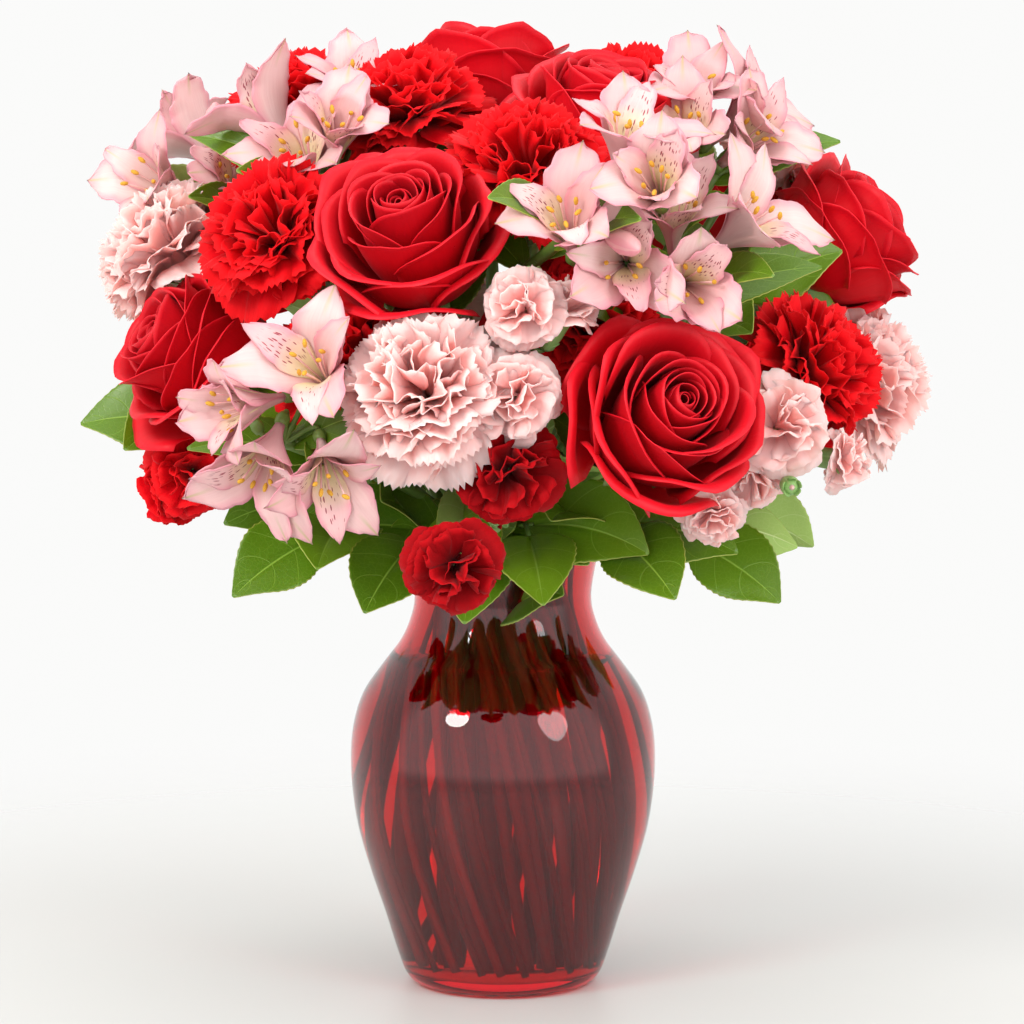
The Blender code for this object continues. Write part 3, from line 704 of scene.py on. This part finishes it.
def petal_paper(name, base, middle, rim, crease, glow=0.12):
    """Carnation petal: matt and thin, painted darker towards its base as painted shade in the folds, and pale
    at its rim.
    """
    material = new_material(name)
    _, v, tone, _, own = skin(material)
    low = add(material, "MapRange", {"Value": v, "From Min": 0.25, "From Max": 0.85})
    high = add(material, "MapRange", {"Value": v, "From Min": 0.82, "From Max": 1.0, "To Max": 0.8})
    vein = streaks(material, own, (60.0, 5.0, 30.0))
    # Painted shade: the colour darkens from middle to base towards the petal's foot.
    colour = coated(material, base, (low, middle), (high, rim))
    colour = coated(material, colour, (vein, crease, 0.35), (tone, middle, 0.2))
    ridge = add(material, "Bump", {"Height": vein, "Strength": 0.25, "Distance": 0.0005})
    papery = {"Base Color": colour, "Normal": ridge, "Roughness": 0.6, "Specular IOR Level": 0.06}
    papery |= {"Sheen Weight": 0.04, "Subsurface Weight": glow, "Subsurface Scale": 0.0035}
    papery |= {"Subsurface Radius": (1.0, 0.35, 0.30)}
    surface(material, papery)
    return material


red_paper = petal_paper("scarlet_carnation_petal", "#980006", "#D00010", "#F01C20", "#B0000A")
pink = ("#F0A19E", "#F4B8B4", "#F4CCC8", "#F1A8A4")
pink_paper = petal_paper("pale_pink_carnation_petal", *pink, glow=0.5)
dark = ("#5A0003", "#900008", "#B80812", "#780005")
crimson_paper = petal_paper("dark_crimson_carnation_petal", *dark)

# Calyx skin: pale bluish green with a bloom of wax, so it is duller than the stem.
calyx_skin = new_material("waxy_green_calyx")
*_, own = skin(calyx_skin)
ribs = streaks(calyx_skin, own, (30.0, 1.0, 0.0))
green = coated(calyx_skin, "#5E8A3A", (ribs, "#9CBE78"))
surface(calyx_skin, {"Base Color": green, "Roughness": 0.5})


def smoothstep(x, low, high):
    """Rises smoothly from 0 at low to 1 at high."""
    t = np.clip((x - low) / (high - low), 0, 1)
    return t * t * (3 - 2 * t)


def frilled_bloom(
    seed, radius, petals, teeth, frill, mouth, dome, swirl=0.0, rows=9, widest=0.72, bite=0.024
):
    """A carnation's petals round +Z. They leave the calyx at height mouth and reach up to dome, both
    shares of radius; frill is the waves' height, swirl their turn in the middle, bite their teeth."""
    rng = np.random.default_rng(seed)
    U, V = np.meshgrid(np.linspace(-1, 1, teeth + 1), np.linspace(0, 1, rows))
    tooth = np.where(np.arange(teeth + 1) % 2 == 0, 1.0, -1.0)
    parts = []
    for i in range(petals):
        open_ = ((i + 0.6) / petals) ** 0.62
        turn = i * GOLDEN + rng.normal(0, 0.16)
        lean = math.radians(np.interp(open_, (0, 0.35, 0.75, 1.0), (6, 30, 66, 94)))
        lean = lean + rng.normal(0, 0.09)
        tall, wide = dome - mouth, 1.10
        length = radius / math.hypot(math.cos(lean) / tall, math.sin(lean) / wide)
        length = length * rng.uniform(0.90, 1.06)
        lead, side = heading(turn)
        top = np.array([0.0, 0.0, 1.0])

        def way(angle):
            return lead * math.sin(angle) + top * math.cos(angle)

        start = lead * radius * 0.06 + top * mouth * radius
        knee = start + way(lean * 0.42) * length * 0.50
        end = start + way(lean) * length
        # The blade's own plane is turned about its middle line, the more so towards the centre.
        twist = rng.normal(0, np.interp(open_, (0, 0.5, 1), (0.9, 0.55, 0.22))) + swirl * (1 - open_)
        line = unit(end - knee)
        flat = side * math.cos(twist) + np.cross(line, side) * math.sin(twist)
        raised = np.cross(flat, line)
        short = 1 - np.interp(open_, (0, 1), (0.20, 0.24)) * np.abs(U) ** 2.2
        toothed = np.ones_like(V)
        toothed[-1] += bite * tooth * rng.uniform(0.3, 1.3, teeth + 1)
        s = V * short * toothed
        t = s[..., None]
        middle = start * (1 - t) ** 2 + 2 * knee * t * (1 - t) + end * t**2
        half = radius * np.interp(open_, (0, 0.4, 1), (widest * 0.66, widest * 0.82, widest))
        half = half * rng.uniform(0.88, 1.1)
        half = half * (0.10 + 0.90 * smoothstep(V, 0.22, 0.86))
        beats, phase = rng.uniform(1.5, 2.6), rng.uniform(0, math.tau)
        height = frill * radius * np.interp(open_, (0, 0.5, 1), (1.25, 1.0, 0.55))
        wave = np.sin(beats * math.pi * U + phase)
        ruffle = height * (wave + 0.42 * np.sin((2.3 * beats) * math.pi * U + phase * 1.7))
        ruffle = ruffle * smoothstep(V, 0.35, 1.0)
        cup = np.interp(open_, (0, 0.6, 1), (0.30, 0.16, 0.02)) * half * U**2 * rng.uniform(0.3, 1.6)
        squeeze = 1 - 0.16 * np.abs(wave) * smoothstep(V, 0.4, 1.0)
        points = middle + (U * half * squeeze)[..., None] * flat + (ruffle - cup)[..., None] * raised
        sag = np.interp(open_, (0.7, 1), (0, 0.10)) * radius * smoothstep(V, 0.6, 1.0)
        points[..., 2] -= sag * rng.uniform(0.3, 1.5)
        parts.append(shell(points, CARNATION_THICK, 0, rng.uniform(), open_))
    return parts


def calyx_tube(mouth, long, wide, seed):
    """A carnation's calyx: a tube with a toothed mouth, on a small base of bracts."""
    foot = mouth - long
    outline = [(0.0, foot), (0.42 * wide, foot), (0.78 * wide, foot + 0.10 * long)]
    outline += [(0.94 * wide, foot + 0.45 * long), (wide, foot + 0.85 * long), (wide * 1.04, mouth)]
    outline += [(wide * 0.8, mouth), (0.0, mouth - 0.1 * long)]
    parts = [turned_skin(outline, 1)]
    parts += sepals(wide * 0.9, mouth - 0.08 * long, 0.34 * long, 0.42 * wide, 5, seed, droop=0.05)
    parts += sepals(wide * 0.5, foot, 0.34 * long, 0.5 * wide, 4, seed + 1, droop=0.02, first=0.5)
    return parts


for kind, paper_, record_slot in (
    ("red_carnation", red_paper, "red_petals"),
    ("pink_carnation", pink_paper, "pink_petals"),
):
    for number, node in enumerate(kind_nodes(kind)):
        stem = Stem(node)
        size = stem.radius * (1.05 if kind == "red_carnation" else 1.09)
        seed = 200 + number + 50 * (kind == "pink_carnation")
        bloom = frilled_bloom(seed, size, CARNATION_PETALS, CARNATION_TEETH, 0.085, MOUTH, 0.80)
        bloom += calyx_tube(MOUTH * size, *CALYX, seed)
        parts = moved(bloom, stem.axis, stem.middle, number * 2.3)
        foot = stem.middle + stem.axis * (MOUTH * size - 0.024)
        path, radii = stem.run(foot, swell=(0.35, 0.62, 0.86))
        parts.append(tube(path, radii, 2, tone=0.55))
        piece(node + "_flower", parts, (paper_, calyx_skin, stem_skin), node)

# --------------------------------------
# The mini (spray) carnations: several small blooms and tight green buds on thin stalks that leave
# the top of one stem. The same petals as the large ones, but fewer, rounder and nearly smooth.

MINI_MOUTH = -0.50
MINI_CALYX = (0.017, 0.0045)

def stalk(start, end, way, slot, radius=0.0011, tone=0.6):
    """A thin stalk from start that arrives at end along way."""
    gap = float(np.linalg.norm(end - start))
    pull = unit(np.asarray(way, float)) * gap * 0.45
    t = np.linspace(0, 1, 12)[:, None]
    rise = start + unit(end - start) * gap * 0.3
    path = start * (1 - t) ** 3 + 3 * rise * t * (1 - t) ** 2 + 3 * (end - pull) * t**2 * (1 - t)
    return tube(path + end * t**3, radius, slot, tone, sides=8)


def mini_bloom(seed, radius):
    """A small carnation round +Z, its face at the origin's height, and its calyx below."""
    smooth = {"swirl": 1.0, "rows": 8, "widest": 0.88, "bite": 0.010}
    bloom = frilled_bloom(seed, radius, 17, 20, 0.07, MINI_MOUTH, 0.50, **smooth)
    return bloom + calyx_tube(MINI_MOUTH * radius, *MINI_CALYX, seed)


def mini_bud(seed, length):
    """A tight bud round +Z: a green calyx with the first petals just showing at its tip."""
    outline = [(0.0, -0.5), (0.20, -0.49), (0.32, -0.30), (0.35, 0.0), (0.28, 0.30), (0.16, 0.45)]
    parts = [turned_skin(np.array([*outline, (0.0, 0.5)]) * length, 1)]
    parts += sepals(length * 0.24, length * 0.18, length * 0.34, length * 0.15, 5, seed, droop=-0.1)
    tip = [(0.0, 0.3), (0.17, 0.36), (0.0, 0.62)]
    return parts + [turned_skin(np.array(tip) * length, 0)]


# Where each cluster's blooms and buds stand from the head of their stem, in millimetres to the
# right, to the back and up; the way each faces; and its radius (a negative one is a bud's length).
MINI_SPRAYS = {
    "pink_mini_1": (((-6, -6, 11), (-0.15, -1, 0.25), 15.5), ((-8, -8, -26), (0.1, -1, -0.05), 17.5),
                    ((14, 8, 12), (0.5, -0.2, 0.9), 13), ((-2, 10, 20), (0, 0.2, 1), -11)),
    "pink_mini_2": (((-8, -14, 18), (0.30, -0.9, 0.30), 20), ((-22, -8, -4), (-0.3, -0.8, -0.5), 15),
                    ((-38, -8, -22), (-0.15, -0.9, -0.45), 13), ((20, 6, 0), (0.9, -0.4, -0.1), 12.5),
                    ((-24, -18, 28), (-0.3, -0.8, 0.6), -12), ((-6, -18, -7), (0.1, -1, 0), -12)),
    "pink_mini_3": (((1, -10, 2), (0.15, -0.85, 0.5), 15), ((16, 4, -8), (0.9, -0.3, 0.4), 14),
                    ((-4, 14, 8), (0, 0.5, 0.9), 13)),
    "pink_mini_4": (((-8, 4, 0), (-0.9, 0.3, 0.2), 16), ((6, 14, 8), (-0.3, 0.9, 0.3), 15),
                    ((-4, 10, -20), (-0.6, 0.6, -0.4), 14)),
    "red_mini_1": (((10, -8, 16), (0.05, -1, 0.08), 20.5), ((-12, -18, -23), (0.05, -1, -0.12), 18),
                   ((4, 8, -4), (0.3, -0.4, -0.6), -12)),
    "red_mini_2": (((6, -8, 3), (-0.25, -0.85, -0.1), 18), ((-4, 12, -6), (-0.8, 0.5, -0.2), 15)),
    "red_mini_3": (((6, 4, 6), (0.4, 0.9, 0.1), 18), ((-14, 6, -8), (-0.1, 0.95, -0.2), 16),
                   ((12, 10, -18), (0.4, 0.8, -0.4), -12)),
}
for kind, paper_, record_slot in (
    ("pink_mini", pink_paper, "pink_petals"),
    ("red_mini", crimson_paper, "crimson_petals"),
):
    for number, node in enumerate(kind_nodes(kind)):
        stem = Stem(node)
        path, radii = stem.run(stem.neck + stem.axis * 0.004, swell=(0.4, 0.7))
        parts = [tube(path, radii, 2, tone=0.6)]
        for k, (offset, way, size) in enumerate(MINI_SPRAYS[node]):
            seed = 400 + 60 * (kind == "red_mini") + 8 * number + k
            place = stem.middle + np.array(offset) / 1000
            way = unit(np.array(way, float))
            if size > 0:
                bloom = mini_bloom(seed, size / 1000)
                base = place + way * (MINI_MOUTH * size / 1000 - 0.0165)
            else:
                bloom = mini_bud(seed, -size / 1000)
                base = place + way * size / 2000
            parts += moved(bloom, way, place, seed * 1.3)
            parts.append(stalk(path[-1], base, way, 2))
        own = red_paper if node == "red_mini_2" else paper_
        piece(node + "_flower", parts, (own, calyx_skin, stem_skin), node)

# --------------------------------------
# The alstroemeria: pale pink Peruvian lilies in loose clusters. Each has three broad outer petals
# with a green point, three narrow inner ones, two of them dashed on cream, and six ochre anthers.

LILY_THICK = 0.0003
# A petal's length as a share of its floret's.
LILY_PETAL = 1.12
FILAMENT = 0.00042
LILY_STALK = 0.0012
# A narrow leaf's length and half width.
LILY_LEAF = (0.060, 0.010)

# Alstroemeria petal: thin and silky, nearly white in the middle and pinker towards a frilled rim;
# layer is 1 on the two inner petals that carry the dashes, and 0 on the other four.
lily_petal = new_material("pink_alstroemeria_petal")
u, v, tone, layer, own = skin(lily_petal)
aside = from_rib(lily_petal, u)
rim = add(lily_petal, "MapRange", {"Value": aside, "From Min": 0.30, "From Max": 0.5, "To Max": 0.8})
tip = add(lily_petal, "MapRange", {"Value": v, "From Min": 0.82, "From Max": 1.0, "To Max": 0.7})
rim = add(lily_petal, "Math", {0: rim, 1: tip}, operation="MAXIMUM")
vein = streaks(lily_petal, own, (34.0, 2.6, 25.0))
# Cream throat on the dashed petals, then the dashes, in rows that run along the petal.
throat = add(lily_petal, "MapRange", {"Value": v, "From Min": 0.62, "From Max": 0.30})
throat = add(lily_petal, "Math", {0: throat, 1: layer}, operation="MULTIPLY")
rows = add(lily_petal, "VectorMath", {0: own, 1: (15.0, 9.0, 25.0)}, operation="MULTIPLY")
dash = add(lily_petal, "TexVoronoi", {"Vector": rows, "Scale": 1.0, "Randomness": 0.75})
dash = add(lily_petal, "MapRange", {"Value": dash, "From Min": 0.33, "From Max": 0.24})
dash = add(lily_petal, "Math", {0: dash, 1: layer}, operation="MULTIPLY")
for where, none, full in ((v, 0.30, 0.40), (v, 0.84, 0.76), (aside, 0.36, 0.28)):
    band = add(lily_petal, "MapRange", {"Value": where, "From Min": none, "From Max": full})
    dash = add(lily_petal, "Math", {0: dash, 1: band}, operation="MULTIPLY")
# A gold-green line up the middle of each other petal to its green point.
line = add(lily_petal, "MapRange", {"Value": aside, "From Min": 0.07, "From Max": 0.01})
tall = add(lily_petal, "MapRange", {"Value": v, "From Min": 0.70, "From Max": 1.0, "To Max": 0.7})
line = add(lily_petal, "Math", {0: line, 1: tall}, operation="MULTIPLY")
outer = add(lily_petal, "Math", {0: 1.0, 1: layer}, operation="SUBTRACT")
line = add(lily_petal, "Math", {0: line, 1: outer}, operation="MULTIPLY")
pink = coated(lily_petal, "#E6C4BE", (tone, "#DFA6A6"), (rim, "#D6788C"), (vein, "#D08890", 0.45))
pink = coated(lily_petal, pink, (throat, "#F2E2B0"), (dash, "#8A2A3C"), (line, "#8FA33C"))
ridge = add(lily_petal, "Bump", {"Height": vein, "Strength": 0.2, "Distance": 0.0005})
silky = {"Base Color": pink, "Normal": ridge, "Roughness": 0.45, "Specular IOR Level": 0.4}
silky |= {"Subsurface Weight": 0.3, "Subsurface Radius": (1.0, 0.6, 0.6), "Subsurface Scale": 0.004}
surface(lily_petal, silky)

# Pollen: dry ochre-yellow grains on the anthers.
pollen = new_material("ochre_pollen")
place = add(pollen, "TexCoord", out="Object")
grains = add(pollen, "TexNoise", {"Vector": place, "Scale": 2200.0, "Detail": 2.0})
surface(pollen, {"Base Color": coated(pollen, "#A86A10", (grains, "#E8B83C")), "Roughness": 0.8})


def lily(seed, length, opened):
    """An alstroemeria floret that opens along +Z from its green ovary at the origin."""
    rng = np.random.default_rng(seed)
    U, V = np.meshgrid(np.linspace(-1, 1, 17), np.linspace(0, 1, 26) ** 0.8)
    parts = []
    for i in range(6):
        inner = i % 2
        turn = math.tau * i / 6 + rng.normal(0, 0.06) + (0.5 if inner else 0.0)
        grow = rng.uniform(0.93, 1.06) * (1.04 if inner else 1.0)
        far = opened * rng.uniform(0.85, 1.15) * (0.80 if inner else 1.0)
        ends = [(0.035, 0.0), (0.05, 0.34), (0.10 + 0.16 * far, 0.72), (0.62 * far, 0.98 - 0.16 * far)]
        width, widest = (0.165, 0.60) if inner else (0.255, 0.62)
        shape = 0.13 + 0.87 * smoothstep(V, 0.0, widest) ** (1.4 if inner else 1.1)
        tip = np.clip((V - widest) / (1.0 - widest), 0, 1)
        half = width * shape * (1 - tip ** (1.7 if inner else 2.1)) ** 0.62 + 0.004
        s = V * (1 - 0.05 * np.abs(U) ** 2)
        out, up = np.moveaxis(along_bezier(np.array(ends), s), -1, 0)
        cup = half * U**2 * (0.55 - 0.45 * V) * (1.0 if inner else 0.8)
        phase = rng.uniform(0, math.tau)
        frill = 0.030 * np.abs(U) ** 3 * smoothstep(V, 0.35, 0.9) * np.sin(11 * V + 4 * U + phase)
        frill = frill + 0.020 * np.abs(U) ** 3 * smoothstep(V, 0.4, 0.9) * np.sin(34 * V + 2 * phase)
        half = half * (1 + 0.05 * np.sin(41 * V + 3 * phase) * smoothstep(V, 0.45, 0.7))
        out = out - cup * 0.8 + frill
        up = up + cup * 0.6 + frill * 0.8
        curl = smoothstep(V, 0.7, 1.0) * rng.uniform(0.0, 0.12)
        out, up = out + curl, up - curl * 0.6
        lead, side = heading(turn)
        skew = 0.03 * rng.normal() * V
        points = out[..., None] * lead + (U * half + skew)[..., None] * side
        points[..., 2] += up
        dashed = float(inner and i != 3)
        parts.append(shell(points * length * LILY_PETAL, LILY_THICK, 0, rng.uniform(), dashed))
    for i in range(6):
        turn = math.tau * (i + 0.5) / 6 + rng.normal(0, 0.15)
        lead = heading(turn)[0]
        lean = rng.uniform(0.05, 0.17)
        t = np.linspace(0, 1, 9)[:, None]
        rise = np.array([0.0, 0.0, 0.72 + 0.06 * rng.normal()]) * t
        path = (lead * (0.02 + lean * t + 0.03 * t**3) + rise) * length
        parts.append(tube(path, FILAMENT, 0, 0.2, sides=6))
        grain = np.array([(0.0, -1.0), (0.7, -0.7), (1.0, 0.0), (0.7, 0.7), (0.0, 1.0)]) * (0.00105, 0.0021)
        way = lead * rng.normal(0.4, 0.5) + np.array([0.0, 0.0, 1.0]) + rng.normal(0, 0.3, 3)
        parts += moved([turned_skin(grain, 1, sides=8)], way, path[-1])
    ovary = [(0.0, -0.145), (0.045, -0.14), (0.072, -0.08), (0.066, -0.02), (0.05, 0.015), (0.0, 0.02)]
    parts.append(turned_skin(np.array(ovary) * length, 2, tone=0.7))
    return parts


def lily_bud(length):
    """A closed alstroemeria bud round +Z: pink with a green tip, on its ovary."""
    closed = [(0.0, 0.0), (0.10, 0.02), (0.17, 0.25), (0.21, 0.55), (0.16, 0.82), (0.05, 0.98), (0.0, 1.0)]
    ovary = [(0.0, -0.22), (0.08, -0.2), (0.11, -0.1), (0.09, 0.02), (0.0, 0.04)]
    bud = turned_skin(np.array(closed) * length, 0, tone=1.0)
    return [bud, turned_skin(np.array(ovary) * length, 2, tone=0.7)]


# Each floret's throat from the head of its stem, in millimetres to the right, to the back and up;
# the way it faces; and its length (a negative one is a bud's).
LILY_SPRAYS = {
    "alstroemeria_1": (((24, -8, 26), (-0.25, -0.85, 0.42), 43), ((-4, -10, 12), (-0.75, -0.6, -0.1), 42),
                       ((4, -12, -10), (-0.25, -0.72, -0.62), 44), ((28, -12, -14), (0.15, -0.80, -0.55), 40),
                       ((-8, 14, 12), (-0.5, 0.3, 0.8), -26)),
    "alstroemeria_2": (((-17, -6, -14), (-0.65, -0.62, 0.42), 41), ((16, -8, -12), (0.1, -0.72, 0.62), 42),
                       ((-2, 12, 4), (-0.6, 0.5, 0.6), 40), ((6, -2, 10), (0.1, -0.2, 1.0), -24)),
    "alstroemeria_3": (((8, -12, -9), (-0.2, -0.66, 0.72), 41), ((22, -20, 2), (0.1, -0.66, 0.74), 42),
                       ((28, 16, 16), (0.1, -0.4, 0.9), 40), ((-8, 10, 6), (-0.6, 0.4, 0.7), 40)),
    "alstroemeria_4": (((-2, -8, -14), (-0.12, -0.74, 0.64), 43), ((34, -8, 2), (-0.12, -0.88, 0.42), 44),
                       ((22, 4, 18), (0.2, -0.4, 0.9), 40), ((20, -14, -20), (0.5, -0.8, -0.2), -24)),
    "alstroemeria_5": (((-40, -14, 0), (-0.05, -0.95, 0.10), 42), ((-14, -14, -9), (0.15, -0.95, 0.05), 43),
                       ((8, -6, 14), (0.66, -0.45, 0.55), 43), ((-20, 2, 16), (0.0, -0.55, 0.8), 41)),
    "alstroemeria_6": (((-22, -16, 2), (-0.2, -0.78, 0.58), 42), ((-20, 0, 15), (0.1, -0.55, 0.82), 42),
                       ((2, 2, 9), (0.75, -0.25, 0.62), 41), ((4, -10, -2), (0.6, -0.6, 0.5), 41)),
    "alstroemeria_7": (((0, -6, 4), (0.75, -0.45, 0.45), 42), ((6, 12, 4), (0.7, 0.5, 0.5), 42),
                       ((-6, 4, 14), (0.2, 0.2, 0.95), 40), ((4, 2, -14), (0.95, 0.1, -0.2), -26)),
    "alstroemeria_8": (((-8, 6, 8), (-0.5, 0.85, 0.2), 42), ((10, 8, 4), (0.4, 0.9, 0.1), 42),
                       ((0, 10, -14), (0.0, 0.85, -0.5), 42), ((0, 2, 16), (0.0, 0.7, 0.7), 40)),
}
for number, node in enumerate(kind_nodes("alstroemeria")):
    stem = Stem(node)
    path, radii = stem.run(stem.neck + stem.axis * 0.003)
    parts = [tube(path, radii, 2, tone=0.45)]
    # A whorl of narrow, glossy leaves just below the florets.
    for k in range(4):
        at = point_below(path, 0.008 + 0.010 * k)
        turn = math.tau * k / 4 + number * 1.3
        way = np.array([math.cos(turn), math.sin(turn), 0.3]) + stem.axis * 0.5
        parts += side_leaf(900 + 4 * number + k, at, way, *LILY_LEAF, droop=0.6, tone=0.3, slot=3)
    for k, (offset, way, size) in enumerate(LILY_SPRAYS[node]):
        seed = 600 + 10 * number + k
        way = unit(np.array(way, float))
        length = abs(size) / 1000
        base = stem.middle + np.array(offset) / 1000 - way * length * 0.45
        opened = 0.92 + 0.22 * math.sin(seed * 1.9)
        flower = lily(seed, length, opened) if size > 0 else lily_bud(length)
        parts += moved(flower, way, base, seed * 2.1)
        foot = base - way * length * 0.14
        parts.append(stalk(path[-1], foot, way, 2, radius=LILY_STALK, tone=0.55))
    skins = (lily_petal, pollen, stem_skin, leaf_skin, stem_skin)
    piece(node + "_flower", parts, skins, node)

# --------------------------------------
# The vase: one piece of clear ruby-red glass, blown and smooth, with a thick foot, a full
# shoulder, a narrow neck and a rounded, slightly flared lip.


def meridian(node):
    """A turned CAD node's outline as (radius, height), from the middle of its underside."""
    points, near = node_net(node)
    radius = np.hypot(points[:, 0], points[:, 1])
    here = np.flatnonzero((np.abs(points[:, 1]) < 1e-5) & (points[:, 0] > 0))
    walk = [min(here, key=lambda k: points[k][2])]
    while ahead := near[walk[-1]].intersection(here) - set(walk):
        walk.append(min(ahead, key=lambda k: np.linalg.norm(points[k] - points[walk[-1]])))
    line = np.stack([radius[walk], points[walk][:, 2]], 1)
    return np.concatenate([line[:1] * (0, 1), line, line[-1:] * (0, 1)])


def turned_body(name, outline, sides, material, node):
    """A closed body turned round +Z from an outline that starts and ends on the axis."""
    t = np.arange(sides) * math.tau / sides
    ring = outline[1:-1]
    height = np.broadcast_to(ring[:, 1:], (len(ring), sides))
    points = np.stack([ring[:, :1] * np.cos(t), ring[:, :1] * np.sin(t), height], -1).reshape(-1, 3)
    count = len(points)
    points = np.concatenate([points, [(0, 0, outline[0][1]), (0, 0, outline[-1][1])]])
    last = count - sides
    faces = grid_quads(len(ring), sides, closed=True).tolist()
    faces += [(count, (i + 1) % sides, i) for i in range(sides)]
    faces += [(count + 1, last + i, last + (i + 1) % sides) for i in range(sides)]
    mesh = bpy.data.meshes.new(name)
    mesh.from_pydata(points.tolist(), [], faces)
    placed(name, mesh, (material,), node)


def clear_body(name, colour, shade, ior):
    """A clear solid that bends light, and lets lamps shine through it tinted by shade."""
    material = new_material(name)
    clear = {"Base Color": colour, "Roughness": 0.0, "IOR": ior, "Transmission Weight": 1.0}
    body = add(material, "BsdfPrincipled", clear)
    passing = add(material, "BsdfTransparent", {"Color": shade})
    lamp = add(material, "LightPath", out="Is Shadow Ray")
    add(material, "OutputMaterial", {"Surface": add(material, "MixShader", {0: lamp, 1: body, 2: passing})})
    return material


# Ruby glass: red through its whole thickness, so its foot and rims are the deepest.
ruby = clear_body("ruby_red_glass", "#E0081E", "#F08080", 1.5)
outline = meridian("vase")
smooth = smooth_path(outline[1:-1], 0.0016)
outline = np.concatenate([outline[:1], smooth, outline[-1:]])
turned_body("vase_glass", outline, 128, ruby, "vase")

# --------------------------------------
# The water: it fills the vase to its shoulder and stands round the stems. Clear, with no colour. It
# runs a little into the glass, so that no air shows between the two.

OVER, UNDER = 0.0003, 0.0002
clear_water = clear_body("clear_water", "#FFFFFF", "#FFFFFF", 1.33)
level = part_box("water")[1][2]
inner = outline[np.argmax(outline[:, 1]) :]
inner = inner[inner[:, 1] < level]
edge = np.interp(level, inner[::-1, 1], inner[::-1, 0])
bottom = [[0.0, inner[-1][1] - UNDER]]
wall = (inner[::-1] + (OVER, -UNDER))[1:]
soaked = np.concatenate([bottom, wall, [[edge + OVER, level], [0.0, level]]])
turned_body("vase_water", soaked, 96, clear_water, "water")
